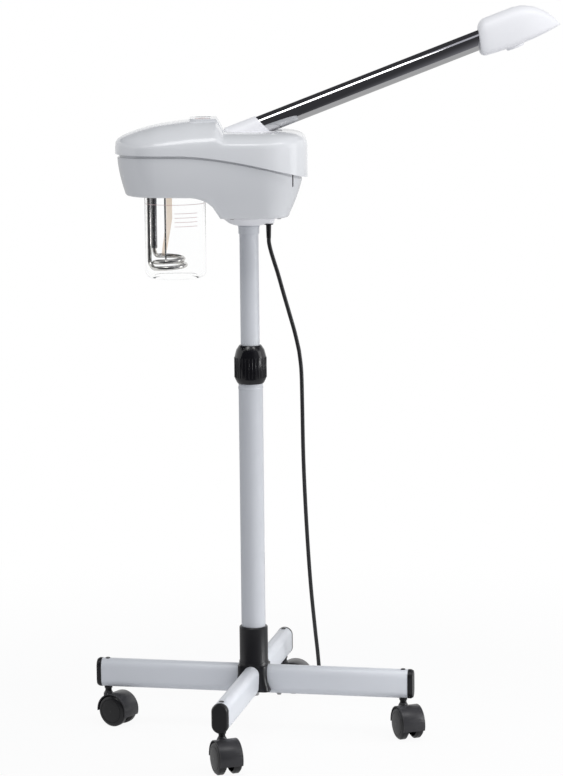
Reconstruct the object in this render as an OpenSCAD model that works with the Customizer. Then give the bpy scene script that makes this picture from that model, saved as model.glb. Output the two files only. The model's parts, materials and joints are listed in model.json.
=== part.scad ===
// Facial steamer on a four-legged roller stand.
// Millimetres, +Z up. The origin is the point on the floor under the column's axis.
// The steamer head points its jar towards -X and its steam arm towards +X.

/* [Base] */
// Turn of the four-legged base about the column
base_turn = -12; // [-45:1:45]
// Distance from the column's axis to the far end of a leg tube
leg_reach = 234; // [215:1:260]
// Width of the flat-oval leg tube
leg_w = 24; // [20:1:30]
// Height of the flat-oval leg tube
leg_h = 43.6; // [38:0.2:50]
// Height of a leg's underside over the floor
leg_bottom = 57.5; // [56:0.5:64]
// Distance from the column's axis to a caster stem
stem_reach = 226; // [206:1:250]
// Swivel angles of the front, right, rear and left casters about +Z
caster_turn = [290, 290, 350, 326]; // [0:1:360]

/* [Casters] */
// Diameter of a caster wheel
wheel_d = 48; // [46:1:50]
// Horizontal distance from the stem's axis to the wheel's axle
caster_trail = 17; // [15:1:19]
// Width of the hood across both wheels
hood_w = 34; // [30:1:36]

/* [Column] */
// Outside diameter of the lower tube
lower_tube_d = 36; // [34:0.5:38]
// Outside diameter of the telescopic upper tube
mast_d = 28; // [26:0.5:29]
// Height of the lock collar's underside
collar_z = 526; // [480:1:540]
// Height of the lock collar itself
collar_h = 57; // [55:0.5:64]
// Outside diameter over the lock collar's ribs
collar_d = 48; // [47:0.2:52]
// Height of the top of the ring at the head of the mast
mast_top = 758.7; // [740:0.1:770]

/* [Head] */
// X of the head's front end
head_front = -194; // [-200:1:-188]
// X of the head's rear end
head_rear = 86; // [82:1:90]
// Radius of the head's round front
front_r = 78; // [74:1:82]
// Radius of the head's two rear corners
rear_r = 60; // [57:1:64]
// Half width of the head across the rear corners
head_half_w = 98; // [94:1:102]
// Wall thickness of both head shells
shell_t = 2.4; // [2:0.1:3]

/* [Jar] */
// X of the jar's axis
jar_x = -107.5; // [-110:0.5:-104]
// Outside diameter of the jar
jar_d = 89; // [85:0.5:90]
// Height of the jar's underside
jar_bottom = 684; // [682:1:690]

/* [Arm] */
// Elevation of the arm over the horizontal
arm_tilt = 20.7; // [18:0.1:23]
// Outside diameter of the chrome arm tube
arm_d = 28.6; // [28:0.1:29]
// Distance along the arm from the socket's mouth to the nozzle head
arm_free = 336.5; // [300:0.5:350]
// Width of the nozzle head
nozzle_w = 54; // [50:1:60]

/* [Hidden] */

white = [0.93, 0.94, 0.95];
tube_white = [0.82, 0.84, 0.87];
black = [0.09, 0.09, 0.10];
charcoal = [0.17, 0.17, 0.18];
steel = [0.72, 0.73, 0.75];

// ---------------------------------------------------------------- shared shapes
FINE = 96;
ROUND = 48;
fit = 0.05;

module tube(od, id, h) {
    difference() {
        cylinder(d = od, h = h, $fn = FINE);
        translate([0, 0, -1]) cylinder(d = id, h = h + 2, $fn = FINE);
    }
}

// Flat oval with its long side along Y, drawn from true arcs
module oval(w, h) {
    square([w, h - w], center = true);
    for (s = [-1, 1]) translate([0, s * (h - w) / 2]) circle(d = w, $fn = ROUND);
}

// Flat oval bar along +X from x = a to x = b, centred on the leg's middle height
module oval_bar(w, h, a, b) {
    translate([a, 0, leg_bottom + leg_h / 2]) rotate([90, 0, 90])
        linear_extrude(b - a) oval(w, h);
}

module at_leg(i) { rotate(base_turn + 90 * i) children(); }

// A body skinned over rings of points with equal counts, closed by flat ends
module skin(rings) {
    n = len(rings[0]);
    m = len(rings);
    sides = [for (j = [0 : m - 2], i = [0 : n - 1])
        let (a = j * n + i, b = j * n + (i + 1) % n, c = b + n, d = a + n)
        each [[a, c, b], [a, d, c]]];
    ends = [[for (i = [0 : n - 1]) i], [for (i = [n - 1 : -1 : 0]) (m - 1) * n + i]];
    polyhedron([for (r = rings) each r], concat(sides, ends), convexity = 6);
}

function unit(v) = v / norm(v);
function ring_about(p, t, up, r, n) =
    let (x = unit(cross(t, up)), y = cross(x, t))
    [for (i = [0 : n - 1]) p + r * (cos(-360 * i / n) * x + sin(-360 * i / n) * y)];
function tangent(path, i) =
    unit(path[min(i + 1, len(path) - 1)] - path[max(i - 1, 0)]);

// A round bar that follows a path of points
module swept(path, d, sides, up = [0.31, 0.95, 0.05]) {
    skin([for (i = [0 : len(path) - 1]) ring_about(path[i], tangent(path, i), up, d / 2, sides)]);
}

// Points on a Catmull-Rom curve through a route
function catmull(a, b, c, d, t) =
    0.5 * (2 * b + (c - a) * t + (2 * a - 5 * b + 4 * c - d) * t * t
        + (3 * b - 3 * c + d - a) * t * t * t);
function smooth(route, steps) =
    let (n = len(route))
    concat([for (i = [0 : n - 2], k = [0 : steps - 1])
        catmull(route[max(i - 1, 0)], route[i], route[i + 1], route[min(i + 2, n - 1)], k / steps)],
        [route[n - 1]]);

// ---------------------------------------------------------------- base
leg_wall = 1.5;
sleeve_top = 159.5;
sleeve_d = 42.4;
leg_root = 22;
hub_top = leg_bottom + leg_h;
hub_foot = leg_bottom + 6.5;
hub_floor = hub_foot + 1;
tube_foot_z = hub_floor + 0.5;

// Square slab with rounded corners, used to skin the flared hub
module hub_slab(half, z) {
    translate([0, 0, z]) linear_extrude(0.5) offset(r = 8, $fn = 32)
        square(2 * half - 16, center = true);
}

// Hollow spigot that runs into the end of one leg tube
module leg_spigot(a, b) {
    spigot_w = leg_w - 2 * leg_wall - 0.3;
    spigot_h = leg_h - 2 * leg_wall - 0.3;
    difference() {
        oval_bar(spigot_w, spigot_h, a, b);
        oval_bar(spigot_w - 8, spigot_h - 8, 30, b + 1);
    }
}

module hub() {
    color(black) difference() {
        union() {
            difference() {
                union() {
                    translate([0, 0, hub_top - 1])
                        cylinder(d = sleeve_d, h = sleeve_top - hub_top - 0.5, $fn = FINE);
                    translate([0, 0, sleeve_top - 1.5])
                        cylinder(d1 = sleeve_d, d2 = sleeve_d - 2.4, h = 1.5, $fn = FINE);
                    translate([0, 0, hub_top - 1]) cylinder(d = sleeve_d + 1.8, h = 6, $fn = FINE);
                    rotate(base_turn) hull() {
                        hub_slab(leg_root - 0.3, hub_top - 0.5);
                        hub_slab(leg_root - 0.2, hub_foot + 24);
                    }
                    rotate(base_turn) hull() {
                        hub_slab(leg_root - 0.2, hub_foot + 24);
                        hub_slab(leg_root + 1.2, hub_foot + 12);
                    }
                    rotate(base_turn) hull() {
                        hub_slab(leg_root + 1.2, hub_foot + 12);
                        hub_slab(28, hub_foot);
                    }
                    translate([0, 0, hub_foot - 3.9]) cylinder(d1 = 30, d2 = 44, h = 4, $fn = FINE);
                }
                for (i = [0 : 3]) at_leg(i) oval_bar(leg_w + 0.1, leg_h + 0.1, leg_root - 0.2, 40);
            }
            for (i = [0 : 3]) at_leg(i) leg_spigot(20, 54);
        }
        translate([0, 0, hub_floor]) cylinder(d = lower_tube_d + 2 * fit, h = 120, $fn = FINE);
        translate([0, 0, 40]) cylinder(d = 8.4, h = 40, $fn = ROUND);
        for (i = [0 : 3]) at_leg(i) translate([38, 0, 50]) cylinder(d = 4.4, h = 30, $fn = ROUND);
    }
}

module leg(i) {
    color(tube_white) at_leg(i) difference() {
        oval_bar(leg_w, leg_h, leg_root, leg_reach);
        oval_bar(leg_w - 2 * leg_wall, leg_h - 2 * leg_wall, 20, leg_reach + 1);
        translate([stem_reach, 0, leg_bottom - 1]) cylinder(d = 11.1, h = 10, $fn = ROUND);
        translate([stem_reach, 0, leg_bottom + leg_h - 5]) cylinder(d = 6.1, h = 10, $fn = ROUND);
        translate([38, 0, leg_bottom - 1]) cylinder(d = 5, h = 10, $fn = ROUND);
    }
}

module leg_cap() {
    grow = 0.6;
    oval_bar(leg_w + grow, leg_h + grow, leg_reach + 0.05, leg_reach + 4);
    hull() {
        oval_bar(leg_w + grow, leg_h + grow, leg_reach + 4, leg_reach + 4.2);
        oval_bar(leg_w - 3, leg_h - 3, leg_reach + 7.2, leg_reach + 7.4);
    }
    difference() {
        oval_bar(leg_w - 2 * leg_wall - 0.2, leg_h - 2 * leg_wall - 0.2, leg_reach - 1.2, leg_reach + 1);
        oval_bar(leg_w - 2 * leg_wall - 4, leg_h - 2 * leg_wall - 4, leg_reach - 2, leg_reach);
    }
}

module leg_caps() {
    color(black) for (i = [0 : 3]) at_leg(i) leg_cap();
}

// Small domed plugs over the stem holes on top of the legs
module leg_plugs() {
    color(black) for (i = [0 : 3]) at_leg(i) translate([stem_reach, 0, leg_bottom + leg_h]) {
        translate([0, 0, 0.02]) cylinder(d1 = 7.6, d2 = 5.6, h = 0.9, $fn = ROUND);
        translate([0, 0, -4]) cylinder(d = 6, h = 4.1, $fn = ROUND);
    }
}

socket_d = 11;
neck_d = 9.8;
stem_d = 8;
socket_top = leg_bottom + 36;

// Plastic sockets inside the legs that hold the caster stems
module stem_sockets() {
    color(charcoal) for (i = [0 : 3]) at_leg(i) translate([stem_reach, 0, 0]) difference() {
        union() {
            translate([0, 0, hood_top + 0.1])
                cylinder(d = neck_d, h = leg_bottom - 1.3 - hood_top, $fn = ROUND);
            translate([0, 0, leg_bottom - 2.6]) cylinder(d = 12, h = 2.55, $fn = ROUND);
            translate([0, 0, leg_bottom - 0.1])
                cylinder(d = socket_d, h = socket_top - leg_bottom, $fn = ROUND);
        }
        translate([0, 0, 40]) cylinder(d = stem_d + 2 * fit, h = socket_top - 44, $fn = ROUND);
    }
}

module pan_screw(d, head_d, length) {
    translate([0, 0, -length]) cylinder(d = d, h = length + 0.1, $fn = ROUND);
    difference() {
        cylinder(d1 = head_d, d2 = head_d * 0.7, h = d * 0.6, $fn = ROUND);
        translate([0, 0, d * 0.3]) for (a = [0, 90]) rotate(a)
            translate([-head_d * 0.3, -d * 0.11, 0]) cube([head_d * 0.6, d * 0.22, d]);
    }
}

module base_fasteners() {
    color(steel) {
        for (i = [0 : 3]) at_leg(i) translate([38, 0, leg_bottom - 0.05]) rotate([180, 0, 0])
            pan_screw(4.2, 8, 16);
        translate([0, 0, hub_foot - 9]) cylinder(d = 8, h = 28, $fn = ROUND);
        translate([0, 0, hub_foot - 11.2]) rotate(15) cylinder(d = 15, h = 5.8, $fn = 6);
        translate([0, 0, hub_foot - 5.4]) cylinder(d = 20, h = 1.45, $fn = ROUND);
    }
}

// ---------------------------------------------------------------- casters
axle_z = wheel_d / 2;
hood_skin = 1.6;
hood_clear = 0.5;
hood_r = wheel_d / 2 + hood_clear + hood_skin;
web_t = 10.4;
wheel_in = web_t / 2 + 0.4;
axle_d = 5;
boss_d = 15;
hood_top = 50.8;

function stem_at(i) = stem_reach * [cos(base_turn + 90 * i), sin(base_turn + 90 * i), 0];
// Legs 0 to 3 count round from the right: right, rear, left, front
caster_leg = [3, 0, 1, 2];

module at_caster(k) {
    translate(stem_at(caster_leg[k])) rotate(caster_turn[k]) children();
}
module on_axle() { translate([caster_trail, 0, axle_z]) rotate([-90, 0, 0]) children(); }

// Side view of the hood: a crescent from low behind, over the top, to the stem boss in front
module hood_arch(r_out, r_in, low_end) {
    difference() {
        circle(r = r_out, $fn = FINE);
        circle(r = r_in, $fn = FINE);
        rotate(-4) translate([-60, 0]) square([60, 60]);
        rotate(low_end) translate([-4, 0]) square([80, 60]);
    }
}

module hood_shape() {
    difference() {
        union() {
            on_axle() translate([0, 0, -hood_w / 2]) linear_extrude(hood_w)
                hood_arch(hood_r, hood_r - hood_skin, 18);
            on_axle() translate([0, 0, -web_t / 2]) linear_extrude(web_t)
                hood_arch(hood_r - 0.4, 0.1, 4);
            on_axle() translate([0, 0, -web_t / 2]) cylinder(d = 14, h = web_t, $fn = ROUND);
            translate([0, 0, 24]) cylinder(d = boss_d, h = hood_top - 28.3, $fn = ROUND);
            translate([0, 0, hood_top - 4.4])
                cylinder(d1 = boss_d, d2 = neck_d + 0.4, h = 4.4, $fn = ROUND);
        }
        for (s = [0, 1]) on_axle() mirror([0, 0, s]) translate([0, 0, web_t / 2])
            cylinder(r = hood_r - hood_skin, h = hood_w, $fn = FINE);
        on_axle() translate([0, 0, -30]) cylinder(d = axle_d + 2 * fit, h = 60, $fn = ROUND);
        translate([0, 0, 30]) cylinder(d = stem_d + 0.1, h = 30, $fn = ROUND);
    }
}

module hood(k) { color(charcoal) at_caster(k) hood_shape(); }

// The steel stem and axle of one caster
module pins(k) {
    color(steel) at_caster(k) {
        translate([0, 0, 30.05]) cylinder(d = stem_d, h = socket_top - 6 - 30, $fn = ROUND);
        on_axle() translate([0, 0, -hood_w / 2 + 2]) cylinder(d = axle_d, h = hood_w - 4, $fn = ROUND);
    }
}

// Half section of one wheel: hub, web and rim with a slightly domed outer face
module wheel_section() {
    r = wheel_d / 2;
    out = hood_w / 2;
    difference() {
        union() {
            polygon([[axle_d / 2 + fit, wheel_in], [6, wheel_in], [6, out - 4], [r - 3, out - 4],
                [r - 3, wheel_in], [r, wheel_in + 2.6], [r, out - 2.4],
                [r - 2.2, out], [r - 5, out + 0.9], [r - 12, out + 1.7], [0, out + 2.1],
                [0, out - 2 + fit], [axle_d / 2 + fit, out - 2 + fit]]);
        }
        translate([r - 6.6, out + 0.95]) circle(r = 0.5, $fn = 16);
    }
}

module wheel(k, side) {
    color(charcoal) at_caster(k) on_axle() mirror([0, 0, side])
        rotate_extrude($fn = FINE) wheel_section();
}

// ---------------------------------------------------------------- column
lower_tube_wall = 1.4;
lower_tube_top = 550;
lower_bore = lower_tube_d - 2 * lower_tube_wall;

module lower_tube() {
    color(tube_white) {
        difference() {
            union() {
                translate([0, 0, tube_foot_z])
                    tube(lower_tube_d, lower_bore, lower_tube_top - tube_foot_z);
                translate([0, 0, tube_foot_z + 0.5]) cylinder(d = lower_bore + 0.02, h = 14, $fn = FINE);
            }
            translate([0, 0, 50]) cylinder(d = 8.1, h = 40, $fn = ROUND);
        }
        translate([0, 0, 518]) tube(lower_tube_d + 1, lower_tube_d - 0.02, 3);
    }
}

// Plastic bush in the mouth of the lower tube, in which the mast slides
module slip_bush() {
    color(charcoal) {
        translate([0, 0, 505]) tube(lower_bore - 2 * fit, mast_d + 2 * fit, lower_tube_top - 505 + 0.1);
        translate([0, 0, lower_tube_top + 0.05]) tube(lower_tube_d - 0.4, mast_d + 2 * fit, 1.6);
    }
}

// Split cone that the lock collar squeezes on the mast
module collet() {
    z0 = lower_tube_top + 1.8;
    color(black) difference() {
        translate([0, 0, z0])
            cylinder(d1 = lower_tube_d - 0.4, d2 = lower_tube_d - 3.6, h = 22, $fn = FINE);
        translate([0, 0, z0 - 1]) cylinder(d = mast_d + 2 * fit, h = 30, $fn = FINE);
        for (a = [0 : 60 : 300]) rotate(a) translate([0, -0.8, z0 + 6]) cube([40, 1.6, 30]);
    }
}

collar_ribs = 30;
collar_bore = lower_tube_d + 0.6;

module lock_collar() {
    r = collar_d / 2;
    rib = 0.9;
    color(black) difference() {
        union() {
            translate([0, 0, collar_z]) rotate_extrude($fn = FINE)
                polygon([[0, 0], [18.9, 0], [20.2, 1.4], [r - rib, 7.5], [r - rib, collar_h - 16],
                    [20.8, collar_h - 7], [16.6, collar_h - 0.6], [16, collar_h], [0, collar_h]]);
            for (a = [0 : 360 / collar_ribs : 359]) rotate(a)
                translate([r - rib, 0, collar_z + 9]) cylinder(r = rib, h = collar_h - 27, $fn = 14);
        }
        translate([0, 0, collar_z - 1])
            cylinder(d = collar_bore, h = lower_tube_top + 2 - collar_z, $fn = FINE);
        translate([0, 0, lower_tube_top]) cylinder(d = collar_bore, h = 4, $fn = FINE);
        translate([0, 0, lower_tube_top + 4])
            cylinder(d1 = collar_bore, d2 = lower_tube_d - 3, h = 23, $fn = FINE);
        translate([0, 0, collar_z]) cylinder(d = mast_d + 0.8, h = collar_h + 1, $fn = FINE);
    }
}

mast_wall = 1.3;
mast_bottom = 250;

module upper_tube() {
    color(tube_white) translate([0, 0, mast_bottom])
        tube(mast_d, mast_d - 2 * mast_wall, 796 - mast_bottom);
}

module mast_ring() {
    color(tube_white) difference() {
        translate([0, 0, mast_top - 11]) union() {
            cylinder(d = 30.6, h = 9, $fn = FINE);
            translate([0, 0, 9]) cylinder(d = 31.4, h = 2, $fn = FINE);
        }
        translate([0, 0, mast_top - 20]) cylinder(d = mast_d + 0.04, h = 30, $fn = FINE);
    }
}

// ---------------------------------------------------------------- head shells
seam_high = 867;
seam_drop = 28;
seam_from = -98;
seam_run = 163;
front_floor = 805.5;
rear_floor = 774.5;
step_from = -86;
step_to = -44.5;
deck_z = 898;
pad_z = 917.5;
shoulder_z = 877;

front_cx = head_front + front_r;
rear_cx = head_rear - rear_r;
rear_cy = head_half_w - rear_r;
side_span = norm([rear_cx - front_cx, rear_cy]);
side_normal = atan2(rear_cy, rear_cx - front_cx) + acos((front_r - rear_r) / side_span);

// One half of the head's plan, from the rear corner to the nose, set in by a distance.
// The x places along the straight side are the same at every inset.
side_x = [18, 6, -6, -18, -27, -35, -41, -46, -52, -60, -68, -76, -84, -92, -102, -112];
function side_y(x, inset) =
    let (c = [rear_cx, rear_cy], n = [cos(side_normal), sin(side_normal)])
    (rear_r - inset + c * n - x * n[0]) / n[1];
function half_plan(inset) = concat(
    [for (a = [0 : 9 : side_normal - 3])
        [rear_cx + (rear_r - inset) * cos(a), rear_cy + (rear_r - inset) * sin(a)]],
    [for (x = side_x) [x, side_y(x, inset)]],
    [for (a = [side_normal + 6 : 7.5 : 177])
        [front_cx + (front_r - inset) * cos(a), (front_r - inset) * sin(a)]]);
function plan(inset) =
    let (h = half_plan(inset), n = len(h))
    concat(h, [for (i = [n - 1 : -1 : 0]) [h[i][0], -h[i][1]]]);

function seam(x) = seam_high - seam_drop * pow(max(0, (x - seam_from) / seam_run), 1.6);
// Underside: high at the front, stepping down in a hollow curve to the rear
function under(x) =
    x <= step_from ? front_floor :
    x >= step_to ? rear_floor :
    rear_floor + (front_floor - rear_floor)
        * sqrt(max(0, 1 - pow((x - step_from) / (step_to - step_from), 2)));
// How far the lower shell's side has drawn in at a height
function draw_in(z) =
    let (d = max(0, seam_high - z))
    2.7 + 0.05 * d + 0.0026 * d * d;

// Moves a plan point to the same place on a ring set in further
function set_in(points, wall, extra) =
    [for (i = [0 : len(points) - 1])
        let (p = points[i], q = plan(draw_in(p[2]) + wall + extra)[i])
        [q[0], q[1], p[2]]];

lower_steps = [0, 0.16, 0.34, 0.52, 0.68, 0.84, 1];
edge_angles = [30, 60, 90];
lip_rise = 2;
groove_d = 2.6;
// Height of the groove under the seam, tallest at the front
function groove_h(x) = lookup(x, [[head_front, 5], [-150, 3.8], [head_rear, 3]]);

// Points a share of the way down the lower shell's side, from the groove's ledge to the corner
function lower_side(f, wall, edge_r) =
    [for (p = plan(0))
        let (high = seam(p[0]) - groove_h(p[0]) - wall, low = under(p[0]) + edge_r)
        [p[0], p[1], high + (low - high) * f]];

// The lower shell from its top edge down: a lip hidden behind the upper shell, a groove drawn
// in under it, then the side and the rounded lower corner
function lower_rings(wall, top_up, edge_r) = concat(
    [for (ring = [[top_up, 0], [lip_rise + wall, 0], [lip_rise + wall, groove_d]])
        set_in([for (p = plan(0)) [p[0], p[1], seam(p[0]) + ring[0]]], wall, ring[1])],
    [set_in(lower_side(0, wall, edge_r), wall, groove_d)],
    [for (f = lower_steps) set_in(lower_side(f, wall, edge_r), wall, 0)],
    [for (a = edge_angles)
        let (side = lower_side(1, wall, edge_r))
        [for (i = [0 : len(side) - 1])
            let (p = side[i], q = plan(draw_in(p[2]) + wall + edge_r * (1 - cos(a)))[i])
            [q[0], q[1], p[2] - edge_r * sin(a) + wall]]]);

// A body skinned over the head's rings from top to bottom. Its two caps run straight across
// between mirrored points, like the rungs of a ladder, so they follow a profile along X.
module shell_body(rings) {
    n = len(rings[0]);
    m = len(rings);
    half = n / 2;
    sides = [for (j = [0 : m - 2], i = [0 : n - 1])
        let (a = j * n + i, b = j * n + (i + 1) % n, c = b + n, d = a + n)
        each [[a, b, c], [a, c, d]]];
    top = [for (i = [0 : half - 2]) each [[i, n - 2 - i, i + 1], [i, n - 1 - i, n - 2 - i]]];
    low = [for (t = top) [for (k = [2, 1, 0]) (m - 1) * n + t[k]]];
    polyhedron([for (r = rings) each r], concat(sides, top, low), convexity = 8);
}

// Crest line of the upper shell, how far in the shoulder runs at a place along it, and how
// full the shoulder is there
crest_line = [[head_front, 905], [-150, 906.3], [-129, 908.9], [-84, 914.7], [-46, 915], [-35, deck_z]];
run_in_line = [[-46, 56], [-35, 45], [26, 45], [head_rear, 20]];
fullness_line = [[head_front, 0.36], [-170, 0.56], [-150, 0.64], [-60, 0.5], [-45, 0.45], [26, 0.45],
    [head_rear, 0.35]];
upper_insets = [0, 1, 2.5, 5, 8.5, 13, 19, 27, 36, 46, 56];
function swell(x, inset) =
    let (t = min(1, inset / lookup(x, run_in_line)))
    pow(1 - pow(1 - t, 1.6), lookup(x, fullness_line));

function downward(rings) = [for (i = [len(rings) - 1 : -1 : 0]) rings[i]];
function upper_rings(wall, skirt) = concat(
    [[for (p = plan(wall)) [p[0], p[1], seam(p[0]) + skirt]]],
    [[for (p = plan(wall)) [p[0], p[1], (seam(p[0]) + shoulder_z) / 2]]],
    [for (u = upper_insets)
        [for (p = plan(u + wall))
            [p[0], p[1], shoulder_z + (lookup(p[0], crest_line) - shoulder_z) * swell(p[0], u) - wall]]]);

pole_bore = mast_d + 2 * 0.08;
gland_x = 29;
gland_disc_d = 13.6;
screw_spots = [[44, 42], [44, -42], [-24, 44], [-24, -44]];
gap_slot_x = 64;

module lower_housing() {
    color(white) difference() {
        shell_body(lower_rings(0, 7, 6));
        shell_body(lower_rings(shell_t, 8, 5));
        translate([jar_x, 0, 780]) cylinder(d = jar_d + 3, h = 40, $fn = FINE);
        translate([0, 0, 760]) cylinder(d = 64, h = 40, $fn = FINE);
        translate([gland_x, 0, 760]) cylinder(d = 17, h = 40, $fn = ROUND);
        for (p = screw_spots) translate([p[0], p[1], 760]) cylinder(d = 4.4, h = 40, $fn = ROUND);
        for (s = [-1, 1]) translate([gap_slot_x, s * 82, 831]) cube([1.6, 34, 20], center = true);
    }
}

turn_x = 8;
turn_r = 42;
journal_r = 30;
recess_z = 893;
pad_from = -84;
pad_half = 36;
switch_y = 22;
switch_x = -65;
rocker_l = 21;
rocker_w = 15;

// Raised pad under the switches, its rear face running down the step to the deck
module switch_pad() {
    intersection() {
        translate([0, pad_half, 0]) rotate([90, 0, 0]) linear_extrude(2 * pad_half)
            polygon([[pad_from, pad_z - 4.9], [pad_from, pad_z], [-45.6, pad_z], [-34.8, deck_z],
                [-35, deck_z - 1.4], [-46, pad_z - 4.3]]);
        translate([pad_from, 0, 880]) linear_extrude(50) offset(r = 8, $fn = ROUND)
            translate([8, 8 - pad_half]) square([80, 2 * pad_half - 16]);
    }
}

module top_cover() {
    color(white) difference() {
        union() {
            switch_pad();
            difference() {
                shell_body(downward(upper_rings(0, 0)));
                shell_body(downward(upper_rings(shell_t, -1)));
            }
            translate([turn_x, 0, 882]) cylinder(r = journal_r + 3.6, h = 12, $fn = FINE);
            translate([turn_x, 0, recess_z - 2.4]) cylinder(r = turn_r + 3.4, h = 6.4, $fn = FINE);
        }
        translate([turn_x, 0, recess_z]) cylinder(r = turn_r + 0.6, h = 4.6, $fn = FINE);
        translate([turn_x, 0, recess_z + 4.5])
            cylinder(r1 = turn_r + 0.6, r2 = turn_r + 1.1, h = 20, $fn = FINE);
        translate([turn_x, 0, 870]) cylinder(r = journal_r + 0.08, h = 40, $fn = FINE);
        for (s = [-1, 1]) translate([switch_x, s * switch_y, 905])
            cube([rocker_l + 0.6, rocker_w + 0.6, 40], center = true);
        translate([switch_x, 0, 900]) cylinder(d = 6.1, h = 30, $fn = ROUND);
    }
}

module bottom_plate() {
    color(white) difference() {
        union() {
            rotate_extrude($fn = FINE)
                polygon([[0, 761], [23, 761], [30, 764], [38.5, 771], [39.5, rear_floor - 0.1],
                    [0, rear_floor - 0.1]]);
            translate([0, 0, rear_floor - 0.2]) cylinder(d = 62, h = 6, $fn = FINE);
            translate([gland_x, 0, 762.5]) cylinder(d1 = 16.4, d2 = 19, h = 12, $fn = ROUND);
        }
        translate([0, 0, 750]) cylinder(d = 33, h = 50, $fn = FINE);
        translate([gland_x, 0, 750]) cylinder(d = gland_disc_d + 0.4, h = 12.5, $fn = ROUND);
        translate([gland_x, 0, 750]) cylinder(d = 10.1, h = 50, $fn = ROUND);
        translate([gland_x, 0, rear_floor]) cylinder(d = 17, h = 20, $fn = ROUND);
    }
}

// Socket that carries the head on the top of the mast
module pole_socket() {
    color(tube_white) difference() {
        union() {
            translate([0, 0, mast_top + 0.3]) cylinder(d = 32.8, h = 62, $fn = FINE);
            translate([0, 0, 780.5]) cylinder(d = 58, h = 2.5, $fn = FINE);
        }
        translate([0, 0, 750]) cylinder(d = pole_bore, h = 60, $fn = FINE);
        translate([gland_x, 0, 775]) cylinder(d = 17, h = 20, $fn = ROUND);
    }
}

module housing_screws() {
    color(steel) for (p = screw_spots) translate([p[0], p[1], rear_floor - 0.05]) rotate([180, 0, 0])
        pan_screw(4, 8, 18);
}

// ---------------------------------------------------------------- jar and heater
flange_low = front_floor + shell_t + 0.1;
flange_roof = 838;
jar_mouth = 834;
jar_wall = 2.2;

module jar_flange() {
    color(steel) translate([jar_x, 0, 0]) difference() {
        union() {
            translate([0, 0, flange_low])
                cylinder(d = jar_d + 10, h = flange_roof + 3 - flange_low, $fn = FINE);
            translate([0, 0, flange_low]) cylinder(d = jar_d + 22, h = 2.5, $fn = FINE);
            translate([28, 0, flange_roof]) cylinder(d = 10.8, h = 5.6, $fn = ROUND);
        }
        translate([0, 0, flange_low - 1])
            cylinder(d = jar_d + 1.4, h = flange_roof + 1 - flange_low, $fn = FINE);
        translate([28, 0, flange_roof - 1]) cylinder(d = 7, h = 20, $fn = ROUND);
        for (p = heater_holes) translate([p[0] - jar_x, p[1], flange_roof - 1])
            cylinder(d = p[2], h = 6, $fn = ROUND);
    }
}

module jar_gasket() {
    color([0.85, 0.85, 0.82]) translate([jar_x, 0, jar_mouth + 0.1])
        tube(jar_d, jar_d - 5, flange_roof - jar_mouth - 0.2);
}

// Glass jar with a heavy rounded base
module glass_jar() {
    r = jar_d / 2;
    base_r = 10;
    color([0.85, 0.92, 0.95, 0.35]) translate([jar_x, 0, jar_bottom]) rotate_extrude($fn = FINE) {
        h = jar_mouth - jar_bottom;
        foot = [[0, 1], [r - 14, 1], [r - 13, 0]];
        corner_out = [for (a = [-90 : 15 : 0]) [r - base_r + base_r * cos(a), base_r + base_r * sin(a)]];
        corner_in = [for (a = [0 : -15 : -90])
            [r - base_r + (base_r - jar_wall) * cos(a), base_r + (base_r - jar_wall) * sin(a) + 3]];
        lip = [[r, h - 1], [r - 0.8, h], [r - jar_wall, h]];
        polygon(concat(foot, corner_out, lip, corner_in, [[0, jar_wall + 3]]));
    }
}

coil_x = -117.85;
coil_z = 699;
coil_r = 24.6;
coil_in = 3.2;
heater_d = 6.5;
front_bend = 14;
back_bend = 9;
coil_pitch = 9;
coil_from = 217;
coil_to = 855;
sheath_d = 9.4;
rod = [-122.1, -6];
strip = [-116.4, 5];

// The coil draws in a little on its second turn, to pass inside the front leg
function coil_radius(a) = coil_r - coil_in * min(1, max(0, (a - 397) / 100));
function coil_point(a) = [coil_x + coil_radius(a) * cos(a), coil_radius(a) * sin(a),
    coil_z + coil_pitch * (a - coil_from) / 360];
// Foot of a leg that meets the coil in a bend; side is 1 where the coil starts, -1 where it ends
function leg_foot(a, bend, side) = coil_point(a) - side * bend * [-sin(a), cos(a), 0];
front_leg = leg_foot(coil_from, front_bend, 1);
back_leg = leg_foot(coil_to, back_bend, -1);
heater_holes = [[front_leg[0], front_leg[1], 9], [back_leg[0], back_leg[1], 11],
    [rod[0], rod[1], 4], [strip[0], strip[1], 11]];

// Heater path: down the front leg, round the coil, up the back leg
function heater_path() =
    let (way = [-sin(coil_from), cos(coil_from), 0], back = [-sin(coil_to), cos(coil_to), 0])
    concat(
        [for (z = [flange_roof + 12, coil_z + front_bend + 30])
            [front_leg[0], front_leg[1], z]],
        [for (a = [0 : 15 : 75])
            front_leg + front_bend * (1 - cos(a)) * way + [0, 0, front_bend * (1 - sin(a))]],
        [for (a = [coil_from : 11 : coil_to]) coil_point(a)],
        [for (a = [15 : 15 : 90])
            coil_point(coil_to) + back_bend * sin(a) * back + [0, 0, back_bend * (1 - cos(a))]],
        [[back_leg[0], back_leg[1], coil_z + 60], [back_leg[0], back_leg[1], flange_roof + 12]]);

module heating_coil() {
    color(steel) swept(heater_path(), heater_d, 10, [0.05, 0.31, 0.95]);
}

module sensor_tubes() {
    color([0.55, 0.56, 0.58]) {
        translate([back_leg[0], back_leg[1], 727]) tube(sheath_d, heater_d + 0.4, flange_roof + 6 - 727);
        translate([rod[0], rod[1], 712]) cylinder(d = 2.6, h = flange_roof + 12 - 712, $fn = ROUND);
    }
}

module strip_slab(x, y, z, turn) {
    translate([x, y, z]) rotate(turn) cube([8.6, 1.8, 0.4], center = true);
}

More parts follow.
